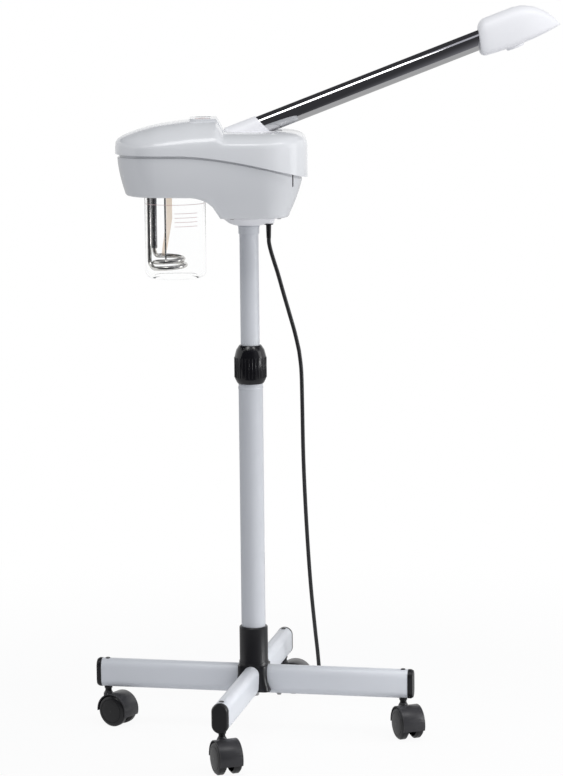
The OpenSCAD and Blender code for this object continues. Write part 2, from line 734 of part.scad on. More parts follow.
// Flat beige sleeve with the dry-run probe's leads
module probe_strip() {
    color([0.86, 0.78, 0.66]) {
        hull() {
            strip_slab(strip[0], strip[1], flange_roof + 8, 0);
            strip_slab(strip[0], strip[1], 770, 0);
        }
        hull() {
            strip_slab(strip[0], strip[1], 770, 0);
            strip_slab(strip[0] - 9, strip[1] + 1, 716, -50);
        }
    }
}

// ---------------------------------------------------------------- inside the head
spout_x = jar_x + 28;
hose_d = 15;
hose_bend = 16;
hose_top = 859.8;

// Silicone hose from the boiler's spout up to the arm's turntable
module steam_hose() {
    run = turn_x - spout_x - 2 * hose_bend;
    module piece(d) {
        translate([spout_x, 0, flange_roof + 3.2])
            cylinder(d = d, h = hose_top - hose_bend - flange_roof - 3.2, $fn = ROUND);
        translate([spout_x + hose_bend, 0, hose_top - hose_bend]) rotate([90, 0, 0])
            rotate_extrude(angle = 90, start = 90, $fn = ROUND)
                translate([hose_bend, 0]) circle(d = d, $fn = ROUND);
        translate([spout_x + hose_bend, 0, hose_top]) rotate([0, 90, 0])
            cylinder(d = d, h = run, $fn = ROUND);
        translate([turn_x - hose_bend, 0, hose_top + hose_bend]) rotate([90, 0, 0])
            rotate_extrude(angle = 90, start = -90, $fn = ROUND)
                translate([hose_bend, 0]) circle(d = d, $fn = ROUND);
    }
    color([0.9, 0.88, 0.82]) difference() {
        piece(hose_d);
        piece(hose_d - 4);
    }
}

board_z = 806;
board_t = 1.6;

// Control board on two pillars, with its transformer and relay
module circuit_board() {
    color([0.1, 0.35, 0.2]) translate([22, -34, board_z]) cube([40, 68, board_t]);
    color([0.75, 0.62, 0.2]) translate([28, -28, board_z + board_t]) cube([24, 22, 18]);
    color(black) translate([30, 4, board_z + board_t]) cube([18, 22, 14]);
    color(steel) for (y = [-28, 28]) translate([40, y, rear_floor + shell_t])
        cylinder(d = 4, h = board_z - rear_floor - shell_t, $fn = ROUND);
}

// Ultraviolet lamp that makes the ozone, in its clip
module ozone_lamp() {
    color([0.8, 0.85, 0.95]) translate([-62, 44, 846]) rotate([0, 90, 0])
        cylinder(d = 14, h = 52, $fn = ROUND);
    color(steel) translate([-70, 44, 846]) rotate([0, 90, 0]) cylinder(d = 15.6, h = 8, $fn = ROUND);
    color(steel) translate([-66, 40, 803.8]) cube([6, 8, 36.2]);
}

module cord_gland() {
    color(black) translate([gland_x, 0, 0]) {
        translate([0, 0, 760.4]) cylinder(d = gland_disc_d, h = 2, $fn = ROUND);
        translate([0, 0, 762.3]) cylinder(d = 10, h = 18, $fn = ROUND);
        translate([0, 0, 740.4]) cylinder(d1 = 6.6, d2 = 7.8, h = 20.1, $fn = ROUND);
        translate([0, 0, rear_floor + 0.1]) cylinder(d = 16, h = 4, $fn = 6);
    }
}

// ---------------------------------------------------------------- controls
rocker_pivot = pad_z - 5;
module rocker(s) {
    translate([switch_x, s * switch_y, 0]) difference() {
        union() {
            translate([0, 0, rocker_pivot]) rotate([90, 0, 0])
                cylinder(r = 4.4, h = rocker_w - 1, center = true, $fn = ROUND);
            hull() {
                translate([-rocker_l / 2 + 0.9, -rocker_w / 2 + 0.5, pad_z - 4])
                    cube([0.4, rocker_w - 1, 4]);
                translate([0, -rocker_w / 2 + 0.5, pad_z - 4.6]) cube([0.4, rocker_w - 1, 3.5]);
                translate([rocker_l / 2 - 2.2, -rocker_w / 2 + 0.5, pad_z - 6])
                    cube([0.4, rocker_w - 1, 4.2]);
            }
        }
        translate([0, 0, rocker_pivot]) rotate([90, 0, 0])
            cylinder(d = 3, h = 40, center = true, $fn = ROUND);
    }
}
module power_switch() { color([0.75, 0.1, 0.1]) rocker(-1); }
module ozone_switch() { color(black) rocker(1); }
module indicator_lamp() {
    color([0.9, 0.3, 0.1]) translate([switch_x, 0, 0]) {
        translate([0, 0, 902]) cylinder(d = 6, h = pad_z - 902.8, $fn = ROUND);
        translate([0, 0, pad_z - 0.8]) cylinder(d1 = 6, d2 = 4, h = 0.8, $fn = ROUND);
    }
}

// ---------------------------------------------------------------- steam arm
table_top = deck_z - 0.4;
arm_z = 898.2;
mouth_x = 22.5;
mouth_z = arm_z + mouth_x * tan(arm_tilt);
socket_r = 15.7;
tube_in = -15;

// Puts +Z along the arm's axis, with the origin at the socket's mouth and +X down
module at_arm() { translate([mouth_x, 0, mouth_z]) rotate([0, 90 - arm_tilt, 0]) children(); }

module arm_turntable() {
    color(white) difference() {
        union() {
            translate([turn_x, 0, recess_z + 0.4])
                cylinder(r = turn_r, h = table_top - recess_z - 0.4, $fn = FINE);
            translate([turn_x, 0, 877]) cylinder(r = journal_r, h = recess_z - 876, $fn = FINE);
            intersection() {
                at_arm() translate([0, 0, -80]) cylinder(r = socket_r, h = 100, $fn = FINE);
                translate([turn_x, 0, table_top - 2]) cylinder(r = turn_r, h = 60, $fn = FINE);
                translate([mouth_x, 0, mouth_z]) rotate([0, 45, 0])
                    translate([-80, -30, -100]) cube([160, 60, 100.3]);
            }
        }
        at_arm() translate([0, 0, tube_in]) cylinder(d = arm_d + 0.06, h = 80, $fn = FINE);
        at_arm() translate([0, 0, tube_in - 9]) cylinder(d = 20, h = 20, $fn = FINE);
        translate([turn_x, 0, 870]) cylinder(d = 12, h = 26, $fn = ROUND);
        translate([turn_x, 0, 879.4]) tube(70, 56, 2);
    }
}

// Split ring that keeps the turntable in the cover
module turntable_ring() {
    color(steel) translate([turn_x, 0, 879.6]) difference() {
        tube(66, 56.4, 1.6);
        translate([0, -2, -1]) cube([60, 4, 4]);
    }
}

module arm_tube() {
    color(steel) at_arm() translate([0, 0, tube_in + 0.2])
        tube(arm_d, arm_d - 2, arm_free + 20 - tube_in);
}

// Nozzle head, drawn in the arm's frame: u along the arm, v up across it
nozzle_top_v = 27;
nozzle_low_v = -26.6;
nozzle_back_u = arm_free;
nozzle_round_u = 394;
nozzle_tip_u = 454;
nose_a = 64;
nose_b = 72;
nose_v = -45;
back_round = 12.5;
foot_round = 6;
lean_run = 43.5;

function nozzle_top(u) =
    u > nozzle_round_u ? nose_v + nose_b * sqrt(max(0, 1 - pow((u - nozzle_round_u) / nose_a, 2))) :
    u < nozzle_back_u + back_round ?
        nozzle_top_v - back_round
            + sqrt(max(0, back_round * back_round - pow(nozzle_back_u + back_round - u, 2))) :
    nozzle_top_v;
// The underside bellies a little, lowest under the middle
function underside(u) = nozzle_low_v + 0.0012 * pow(u - 390, 2);
function nozzle_low(u) =
    let (d = max(0, nozzle_back_u + foot_round - u))
    underside(u) + foot_round - sqrt(max(0, foot_round * foot_round - d * d));
function nozzle_half(u) =
    let (c = nozzle_back_u + 20, w = nozzle_w / 2)
    u < c ? w - 6 + 6 * sqrt(max(0, 1 - pow((c - u) / 20, 2))) :
    u > nozzle_round_u - 10 ? w * sqrt(1 - pow((u - nozzle_round_u + 10) / 74, 2)) : w;
// The back of the head leans forward at the top; the lean fades out along the arm
function nozzle_lean(u) = 0.25 * max(0, 1 - (u - nozzle_back_u) / lean_run);
// A cross-section: round-shouldered above, nearly square below
function nozzle_ring(u, wall) =
    let (t = nozzle_top(u) - wall, b = nozzle_low(u) + 0.01 * wall, w = nozzle_half(u) - wall,
        mid = b + (t - b) * 0.42, k = nozzle_lean(u))
    [for (a = [0 : 12 : 348])
        let (c = cos(a), s = sin(a), e = s > 0 ? 0.72 : 0.3,
            v = s > 0 ? mid + (t - mid) * pow(s, e) : mid - (mid - b) * pow(-s, e))
        [u + k * v, sign(c) * w * pow(abs(c), e), v]];
nozzle_u = [0, 0.8, 2.4, 5, 8, 12, 20, 40, 60, 72, 82, 91, 99, 106, 111, 114, 116];

module nozzle_solid(wall) {
    at_arm_uv() skin([for (d = nozzle_u)
        let (u = nozzle_back_u + wall + d * (nozzle_tip_u - nozzle_back_u - 2 * wall) / 116)
        nozzle_ring(u, wall)]);
}
// Puts +X along the arm's axis and +Z across it, upwards
module at_arm_uv() { translate([mouth_x, 0, mouth_z]) rotate([0, -arm_tilt, 0]) children(); }

// Everything lower than a height over the underside
module under_band(rise) {
    from = nozzle_back_u - 20;
    to = nozzle_tip_u + 20;
    at_arm_uv() rotate([90, 0, 0]) linear_extrude(100, center = true)
        polygon(concat([for (u = [from : 5 : to]) [u, underside(u) + rise]], [[to, -60], [from, -60]]));
}

cover_t = 2.4;
outlet_u = 382.5;
spout_d = 26;
spout_bore = 20;

module nozzle_shell() {
    color(white) difference() {
        union() {
            difference() {
                nozzle_solid(0);
                nozzle_solid(2.3);
            }
            intersection() {
                at_arm() translate([0, 0, nozzle_back_u - 6]) cylinder(d = arm_d + 5, h = 31, $fn = FINE);
                nozzle_solid(1);
            }
        }
        at_arm() translate([0, 0, nozzle_back_u - 5]) cylinder(d = arm_d + 2 * fit, h = 60, $fn = FINE);
        under_band(cover_t);
    }
}

module nozzle_cover() {
    color(white) difference() {
        intersection() {
            nozzle_solid(0);
            under_band(cover_t - 0.1);
        }
        at_arm_uv() translate([outlet_u, 0, -60]) cylinder(d = spout_d + 0.1, h = 60, $fn = FINE);
    }
}

module steam_outlet() {
    color(white) at_arm_uv() translate([outlet_u, 0, nozzle_low_v]) difference() {
        union() {
            translate([0, 0, -3.2]) cylinder(d1 = 25.4, d2 = 27.6, h = 3.1, $fn = FINE);
            translate([0, 0, -0.2]) cylinder(d = spout_d, h = 14.2, $fn = FINE);
        }
        translate([0, 0, -4]) cylinder(d = spout_bore, h = 30, $fn = FINE);
    }
}

// ---------------------------------------------------------------- mains cord
cord_d = 6;
drop_route = [[29, 0, 740.2], [29.4, 0, 733], [32, 1, 721], [36.3, 4, 706], [42, 8, 687], [50, 14, 657],
    [58.5, 22, 626], [66.5, 30, 596], [72.5, 36, 568], [75.5, 39, 540], [76.5, 42, 500], [78, 60, 400],
    [82, 85, 300], [88, 115, 200], [95, 148, 120]];
floor_route = [[95, 148, 120], [99, 166, 80], [102, 182, 45], [106, 200, 16], [109.5, 217, 5],
    [112, 233, 3.2], [114, 250, 3.2], [114, 265, 3.2]];
coil_at = [150, 265];
coil_mid_r = 33;

module cord_drop() { color(black) swept(smooth(drop_route, 3), cord_d, 8, [0.9, 0.3, 0.1]); }
module cord_floor() { color(black) swept(smooth(floor_route, 3), cord_d, 8, [0.9, -0.3, 0.1]); }

// The outer shape of the coiled length: two turns wide and two turns high
module cord_coil() {
    color(black) translate([coil_at[0], coil_at[1], 0]) rotate_extrude($fn = FINE)
        translate([coil_mid_r - cord_d, 0]) {
            translate([cord_d / 2, 0]) square([cord_d, 2 * cord_d]);
            translate([0, cord_d / 2]) square([2 * cord_d, cord_d]);
            for (x = [0.5, 1.5], y = [0.5, 1.5]) translate([x * cord_d, y * cord_d])
                circle(d = cord_d, $fn = ROUND);
        }
}

plug_at = [coil_at[0] + coil_mid_r + 3, coil_at[1] - 30, 8.6];

// Moulded two-pin plug lying flat, its pins towards -Y
module mains_plug() {
    color(black) translate(plug_at) rotate([90, 0, 0]) {
        hull() {
            for (s = [-1, 1]) translate([s * 10, 0, 14]) cylinder(d = 17, h = 20, $fn = 32);
            for (s = [-1, 1]) translate([s * 5, 0, 4]) cylinder(d = 13, h = 8, $fn = 32);
        }
        translate([0, 0, -18]) cylinder(d1 = 6.6, d2 = 10, h = 23, $fn = ROUND);
    }
}

module plug_pins() {
    color(steel) for (s = [-1, 1]) translate(plug_at + [s * 9.5, -34, 0]) rotate([90, 0, 0]) {
        cylinder(d = 4.8, h = 18, $fn = ROUND);
        translate([0, 0, 18]) cylinder(d1 = 4.8, d2 = 3.2, h = 1, $fn = ROUND);
    }
}

hub();
leg(3);  // leg_front
leg(0);  // leg_right
leg(1);  // leg_rear
leg(2);  // leg_left
leg_caps();
leg_plugs();
stem_sockets();
base_fasteners();
lower_tube();
slip_bush();
collet();
lock_collar();
hood(0);  // hood_front
hood(1);  // hood_right
hood(2);  // hood_rear
hood(3);  // hood_left
pins(0);  // pins_front
pins(1);  // pins_right
pins(2);  // pins_rear
pins(3);  // pins_left
wheel(0, 0);  // wheel_front_a
wheel(0, 1);  // wheel_front_b
wheel(1, 0);  // wheel_right_a
wheel(1, 1);  // wheel_right_b
wheel(2, 0);  // wheel_rear_a
wheel(2, 1);  // wheel_rear_b
wheel(3, 0);  // wheel_left_a
wheel(3, 1);  // wheel_left_b
upper_tube();
mast_ring();
lower_housing();
top_cover();
bottom_plate();
pole_socket();
housing_screws();
jar_flange();
jar_gasket();
glass_jar();
heating_coil();
sensor_tubes();
probe_strip();
steam_hose();
circuit_board();
ozone_lamp();
cord_gland();
indicator_lamp();
power_switch();
ozone_switch();
arm_turntable();
turntable_ring();
arm_tube();
nozzle_shell();
nozzle_cover();
steam_outlet();
cord_drop();
cord_floor();
cord_coil();
mains_plug();
plug_pins();
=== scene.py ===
"""Facial steamer on a roller stand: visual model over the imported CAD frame."""
import json
import math

import bmesh
import bpy
from bpy.props import FloatProperty, FloatVectorProperty, IntProperty, PointerProperty
from mathutils import Matrix, Vector


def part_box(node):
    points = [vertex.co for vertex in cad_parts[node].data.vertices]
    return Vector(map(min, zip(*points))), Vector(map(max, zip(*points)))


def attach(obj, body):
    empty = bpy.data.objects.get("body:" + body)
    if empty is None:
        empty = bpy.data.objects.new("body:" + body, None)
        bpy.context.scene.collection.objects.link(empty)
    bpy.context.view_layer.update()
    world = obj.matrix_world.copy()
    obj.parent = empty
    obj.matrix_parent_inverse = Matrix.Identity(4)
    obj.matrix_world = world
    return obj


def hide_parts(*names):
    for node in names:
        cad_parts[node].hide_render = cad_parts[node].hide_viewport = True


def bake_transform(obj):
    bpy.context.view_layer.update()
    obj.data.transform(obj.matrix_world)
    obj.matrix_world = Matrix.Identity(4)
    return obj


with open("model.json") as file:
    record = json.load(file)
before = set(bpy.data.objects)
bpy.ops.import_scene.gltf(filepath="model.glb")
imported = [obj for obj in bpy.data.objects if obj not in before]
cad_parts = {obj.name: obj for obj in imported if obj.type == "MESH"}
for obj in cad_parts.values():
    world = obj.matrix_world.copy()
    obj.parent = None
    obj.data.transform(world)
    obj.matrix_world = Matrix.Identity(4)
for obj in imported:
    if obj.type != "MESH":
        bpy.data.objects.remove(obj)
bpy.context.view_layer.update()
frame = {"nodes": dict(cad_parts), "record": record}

bl_info = {
    "name": "Facial Steamer",
    "version": (1, 0, 0),
    "blender": (4, 5, 0),
    "location": "View3D > Sidebar > Steamer",
    "description": "Builds a facial steamer on a roller stand over its CAD frame",
    "category": "Object",
}

MM = 0.001
CASTERS = ["front", "right", "rear", "left"]
ARM_TILT = math.radians(20.7)
BREAK_ANGLE = 32.0                # edges sharper than this stay sharp, in degrees
BAR_ANGLE = 50.0                  # the same, on a swept bar
EASE_ANGLE = 40.0                 # edges sharper than this are eased by a bevel, in degrees
FLAT_ANGLE = 0.6                  # faces that turn less than this are one flat face, in degrees
WELD = 2e-6                       # corners closer than this become one
DUST_COLOUR = (0.42, 0.41, 0.39, 1.0)
COAT_ROUGHNESS = 0.06
COLUMN_PAINTED_SHADE = 0.87               # painted shade: darkens the legs' paint for the column, where light falls on it less
WANDER = 0.15                     # how far a finish's roughness strays from its own value
GLASS_WANDER = 0.5

# Camera: a long lens at the height of a seated viewer, in front of the steamer's side.
CAMERA_AT = (0.0, -4.2065, 1.1557)
CAMERA_YAW, CAMERA_PITCH, CAMERA_ROLL = 0.0108, 0.15045, -0.0103
SENSOR, LENS = 36.0, 133.60825    # in millimetres
CLIP_NEAR, CLIP_FAR = 0.1, 60.0

# Floor: its half width, how much of it glows near the object, how bright reflections see it, and
# the distances between which the glow grows to its full strength.
FLOOR_REACH = 9.0
FLOOR_GLOW, FLOOR_MIRRORED = 0.93, 0.55
GLOW_NEAR, GLOW_FAR = 0.35, 1.3

# Dark cards: name, where along X it grows paler, from and to, how many times paler, its corners.
PALER_FROM, PALER_TO, PALER_TIMES = 0.2, 0.9, 5.0
FLAGS = [
    ("front_flag", PALER_FROM, PALER_TO, PALER_TIMES,
     [(-3, -0.65, 0.02), (3, -0.65, 0.02), (3, -1.3, 2.5), (-3, -1.3, 2.5)]),
    ("top_flag", PALER_FROM, PALER_TO, PALER_TIMES,
     [(-3, -0.55, 2.6), (3, -0.55, 2.6), (3, 4, 2.6), (-3, 4, 2.6)]),
    ("end_flag", -0.47, -0.21, 12.0,
     [(-0.31, -0.55, 2.6), (0.6, -0.55, 2.6), (0.6, -1.3, 2.5), (-0.15, -1.3, 2.5)]),
]

# Lamps: name, place, aim, size, the setting that gives the power, the share of it, spread in degrees.
LAMPS = [
    ("overhead", (0.15, -0.95, 2.9), (0, 0, 1.0), (2.6, 0.8), "key", 1.0, 180),
    ("low_right", (1.6, -0.3, 0.4), (0.03, -0.08, 0.08), (0.4, 0.3), "side", 0.048, 50),
    ("right", (2.3, -0.9, 0.9), (0.1, 0, 0.6), (2.2, 1.8), "side", 1.0, 180),
    ("front_right", (1.35, -1.45, 1.2), (0.35, 0, 0.95), (0.9, 0.9), "side", 0.28, 180),
]
SURROUND_COLOUR = (0.93, 0.955, 1.0, 1.0)

# Jar's level marks: name, height of the lowest, how many, start angle and sweep in degrees.
LEVEL_MARKS = [("level_rows", 0.7625, 4, -90.0, 47.0), ("level_ring", 0.7940, 1, -170.0, 160.0)]
MARK_STEP, MARK_WIDTH = 0.0063, 0.0007


# ------------------------------------------------------------------ settings
def colour(name, description, value):
    """A colour setting."""
    return FloatVectorProperty(name=name, description=description, default=value,
                               size=3, min=0.0, max=1.0, subtype="COLOR")


def length(name, description, value, low, high):
    """A setting in metres."""
    return FloatProperty(name=name, description=description, default=value,
                         min=low, max=high, unit="LENGTH", subtype="DISTANCE")


class SteamerFinishes(bpy.types.PropertyGroup):
    """Base colours of the finishes"""
    shell: colour("Shell", "Gloss white of the head", (0.80, 0.81, 0.83))
    nozzle: colour("Nozzle", "Whiter satin of the nozzle head", (0.92, 0.92, 0.945))
    frame_paint: colour("Frame paint", "Powder coat of the column and legs", (0.74, 0.76, 0.80))
    black: colour("Black mouldings", "Hub, caps, collet and gland", (0.010, 0.010, 0.012))
    hood: colour("Hoods", "Caster hoods", (0.031, 0.0305, 0.034))
    wheel: colour("Wheels", "Caster wheels", (0.007, 0.007, 0.009))
    chrome: colour("Chrome", "Plated steam arm", (0.62, 0.62, 0.63))
    heater: colour("Heater", "Polished steel of the heater", (0.60, 0.59, 0.57))


class SteamerCord(bpy.types.PropertyGroup):
    """Size of the mains lead and of the coil at its end"""
    diameter: length("Diameter", "Outside diameter of the mains lead", 0.006, 0.005, 0.008)
    coil_x: length("Coil X", "Centre of the stored coil", 0.150, 0.12, 0.18)
    coil_y: length("Coil Y", "Centre of the stored coil", 0.265, 0.24, 0.30)
    coil_outer: length("Coil radius", "Radius of the coil's outer turn", 0.036, 0.030, 0.040)
    turns: FloatProperty(name="Turns", description="Turns in the coil, ending on a half turn",
                         default=3.5, min=2.5, max=4.5)
    sides: IntProperty(name="Sides", description="Faces round the lead", default=20, min=8, max=32)


class SteamerStage(bpy.types.PropertyGroup):
    """Floor, light and reflections"""
    floor: colour("Floor", "Plain pale floor", (0.86, 0.86, 0.87))
    key: FloatProperty(name="Key", description="Power of the overhead softbox", default=26.0,
                       min=0.0, max=400.0, unit="POWER")
    side: FloatProperty(name="Side", description="Power of the softboxes on the right", default=15.0,
                        min=0.0, max=400.0, unit="POWER")
    fill: FloatProperty(name="Fill", description="Strength of the surround light", default=0.42,
                        min=0.0, max=2.0)
    flag: colour("Flags", "Tone of the dark cards that only reflections show", (0.05, 0.05, 0.055))


# ------------------------------------------------------------------ node helpers
def new_group(name, kind="ShaderNodeTree"):
    """An empty node group, in place of any old one of the same name."""
    old = bpy.data.node_groups.get(name)
    if old:
        bpy.data.node_groups.remove(old)
    return bpy.data.node_groups.new(name, kind)


def socket(group, name, way, kind="NodeSocketFloat", value=None, low=None, high=None):
    """Adds a named input or output to a group."""
    made = group.interface.new_socket(name, in_out=way, socket_type=kind)
    if value is not None:
        made.default_value = value
    if low is not None:
        made.min_value, made.max_value = low, high


def add(tree, kind, **values):
    """Adds a node and sets its own properties."""
    node = tree.nodes.new(kind)
    for key, value in values.items():
        setattr(node, key, value)
    return node


def put(node, **inputs):
    """Sets a node's inputs; an underscore stands for the space in a socket's name."""
    for key, value in inputs.items():
        node.inputs[key.replace("_", " ")].default_value = value
    return node


def feed(tree, value, target):
    """Sets an input from a plain value or from another node's output."""
    if isinstance(value, bpy.types.NodeSocket):
        tree.links.new(value, target)
    else:
        target.default_value = value


def maths(tree, operation, a, b, clamp=False):
    """One step of arithmetic on numbers or outputs."""
    node = add(tree, "ShaderNodeMath", operation=operation, use_clamp=clamp)
    feed(tree, a, node.inputs[0])
    feed(tree, b, node.inputs[1])
    return node.outputs[0]


def ranged(tree, value, low, high, start=0.0, end=1.0, curve="LINEAR"):
    """Maps value, as it goes from start to end, on to low to high."""
    node = put(add(tree, "ShaderNodeMapRange", interpolation_type=curve),
               From_Min=start, From_Max=end, To_Min=low, To_Max=high)
    tree.links.new(value, node.inputs["Value"])
    return node.outputs["Result"]


def colour_mix(tree, factor, a, b):
    """Colour a where factor is 0, and b where it is 1."""
    mix = add(tree, "ShaderNodeMix", data_type="RGBA")
    tree.links.new(factor, mix.inputs["Factor"])
    feed(tree, a, mix.inputs["A"])
    feed(tree, b, mix.inputs["B"])
    return mix.outputs["Result"]


def shader_mix(tree, factor, first, second):
    """The first shader where factor is 0, and the second where it is 1."""
    mix = add(tree, "ShaderNodeMixShader")
    tree.links.new(factor, mix.inputs["Fac"])
    tree.links.new(first.outputs[0], mix.inputs[1])
    tree.links.new(second.outputs[0], mix.inputs[2])
    return mix.outputs[0]


def looked_at(tree, rays):
    """1 for rays that look, straight, by a mirror or through glass; 0 for rays that light."""
    return maths(tree, "MAXIMUM", rays.outputs["Is Camera Ray"],
                 maths(tree, "MAXIMUM", rays.outputs["Is Glossy Ray"],
                       rays.outputs["Is Transmission Ray"]))


def blank_material(name):
    """A material with nothing in its tree but the output."""
    material = bpy.data.materials.new(name)
    material.use_nodes = True
    material.node_tree.nodes.clear()
    return material, material.node_tree, add(material.node_tree, "ShaderNodeOutputMaterial")


def moulded_grain():
    """Fine moulded or sprayed grain: a height for bump and a slow tone over the surface."""
    group = new_group("moulded_grain")
    socket(group, "Grain Scale", "INPUT", value=900.0, low=1.0, high=6000.0)
    socket(group, "Tone Scale", "INPUT", value=9.0, low=0.1, high=200.0)
    socket(group, "Height", "OUTPUT")
    socket(group, "Tone", "OUTPUT")
    into, out = add(group, "NodeGroupInput"), add(group, "NodeGroupOutput")
    place = add(group, "ShaderNodeTexCoord")
    fine = put(add(group, "ShaderNodeTexNoise"), Detail=3.0, Roughness=0.6)
    slow = put(add(group, "ShaderNodeTexNoise"), Detail=2.0, Roughness=0.5)
    for node, scale in ((fine, "Grain Scale"), (slow, "Tone Scale")):
        group.links.new(place.outputs["Object"], node.inputs["Vector"])
        group.links.new(into.outputs[scale], node.inputs["Scale"])
    group.links.new(fine.outputs["Fac"], out.inputs["Height"])
    group.links.new(slow.outputs["Fac"], out.inputs["Tone"])
    return group


def settled_dust():
    """Mask of the thin film that settles on faces that look up, broken by noise."""
    group = new_group("settled_dust")
    socket(group, "Amount", "INPUT", value=0.2, low=0.0, high=1.0)
    socket(group, "Mask", "OUTPUT")
    into, out = add(group, "NodeGroupInput"), add(group, "NodeGroupOutput")
    shape = add(group, "ShaderNodeNewGeometry")
    split = add(group, "ShaderNodeSeparateXYZ")
    group.links.new(shape.outputs["Normal"], split.inputs[0])
    place = add(group, "ShaderNodeTexCoord")
    noise = put(add(group, "ShaderNodeTexNoise"), Scale=60.0, Detail=4.0, Roughness=0.6)
    group.links.new(place.outputs["Object"], noise.inputs["Vector"])
    up = maths(group, "MULTIPLY", split.outputs["Z"], split.outputs["Z"])
    facing = maths(group, "MULTIPLY", maths(group, "GREATER_THAN", split.outputs["Z"], 0.0), up)
    broken = maths(group, "MULTIPLY", facing, noise.outputs["Fac"])
    group.links.new(maths(group, "MULTIPLY", broken, into.outputs["Amount"], True), out.inputs["Mask"])
    return group


def drawn_lines():
    """Faint polishing lines that run along a tube: stretched noise."""
    group = new_group("drawn_lines")
    socket(group, "Direction", "INPUT", "NodeSocketVector")
    socket(group, "Height", "OUTPUT")
    into, out = add(group, "NodeGroupInput"), add(group, "NodeGroupOutput")
    place = add(group, "ShaderNodeTexCoord")
    turn = add(group, "ShaderNodeMapping", vector_type="POINT")
    turn.inputs["Scale"].default_value = (30.0, 1400.0, 1400.0)
    group.links.new(place.outputs["Object"], turn.inputs["Vector"])
    group.links.new(into.outputs["Direction"], turn.inputs["Rotation"])
    noise = put(add(group, "ShaderNodeTexNoise"), Scale=1.0, Detail=2.0, Roughness=0.5)
    group.links.new(turn.outputs["Vector"], noise.inputs["Vector"])
    group.links.new(noise.outputs["Fac"], out.inputs["Height"])
    return group


def wandering(tree, tone, rough, stray):
    """A roughness that strays either way from its own value as the slow tone does."""
    return ranged(tree, tone, rough * (1.0 - stray), min(1.0, rough * (1.0 + stray)))


GROUPS = {}


def placed(tree, build, **inputs):
    """Places a shared effect in a material; its group is built the first time."""
    if build not in GROUPS:
        GROUPS[build] = build()
    return put(add(tree, "ShaderNodeGroup", node_tree=GROUPS[build]), **inputs)


def finish(name, base, rough, metallic=0.0, grain=900.0, depth=0.02, tone=0.05, tone_scale=9.0,
           dust=0.0, coat=0.0, lines=None, specular=0.5):
    """A solid finish with its own grain, a slow tone, a roughness that wanders and settled dust."""
    material, tree, out = blank_material(name)
    material.diffuse_color = (*base, 1.0)
    shader = put(add(tree, "ShaderNodeBsdfPrincipled"), Metallic=metallic, Specular_IOR_Level=specular,
                 Coat_Weight=coat, Coat_Roughness=COAT_ROUGHNESS)
    tree.links.new(shader.outputs[0], out.inputs["Surface"])
    surface = placed(tree, moulded_grain, Grain_Scale=grain, Tone_Scale=tone_scale)
    darker = [c * (1.0 - tone) for c in base]
    lighter = [min(1.0, c * (1.0 + tone)) for c in base]
    shade = colour_mix(tree, surface.outputs["Tone"], (*darker, 1.0), (*lighter, 1.0))
    if dust:
        film = placed(tree, settled_dust, Amount=dust)
        shade = colour_mix(tree, film.outputs["Mask"], shade, DUST_COLOUR)
    tree.links.new(shade, shader.inputs["Base Color"])
    tree.links.new(wandering(tree, surface.outputs["Tone"], rough, WANDER), shader.inputs["Roughness"])
    relief = placed(tree, drawn_lines, Direction=lines) if lines else surface
    bump = put(add(tree, "ShaderNodeBump"), Strength=0.5, Distance=depth * MM)
    tree.links.new(relief.outputs["Height"], bump.inputs["Height"])
    tree.links.new(bump.outputs["Normal"], shader.inputs["Normal"])
    return material


def clear_glass(name, tint, ior, rough=0.01, clear=1.0):
    """Glass or thin rubber that lets the studio light through to what stands inside it."""
    material, tree, out = blank_material(name)
    shader = put(add(tree, "ShaderNodeBsdfPrincipled"), IOR=ior, Transmission_Weight=clear)
    rays = add(tree, "ShaderNodeLightPath")
    lighting = maths(tree, "MAXIMUM", rays.outputs["Is Shadow Ray"], rays.outputs["Is Diffuse Ray"])
    tree.links.new(shader_mix(tree, lighting, shader, add(tree, "ShaderNodeBsdfTransparent")),
                   out.inputs["Surface"])
    tone = placed(tree, moulded_grain, Grain_Scale=40.0, Tone_Scale=14.0).outputs["Tone"]
    tree.links.new(colour_mix(tree, tone, (*tint, 1.0), (1.0, 1.0, 1.0, 1.0)),
                   shader.inputs["Base Color"])
    tree.links.new(wandering(tree, tone, rough, GLASS_WANDER), shader.inputs["Roughness"])
    return material


PALETTE = {}


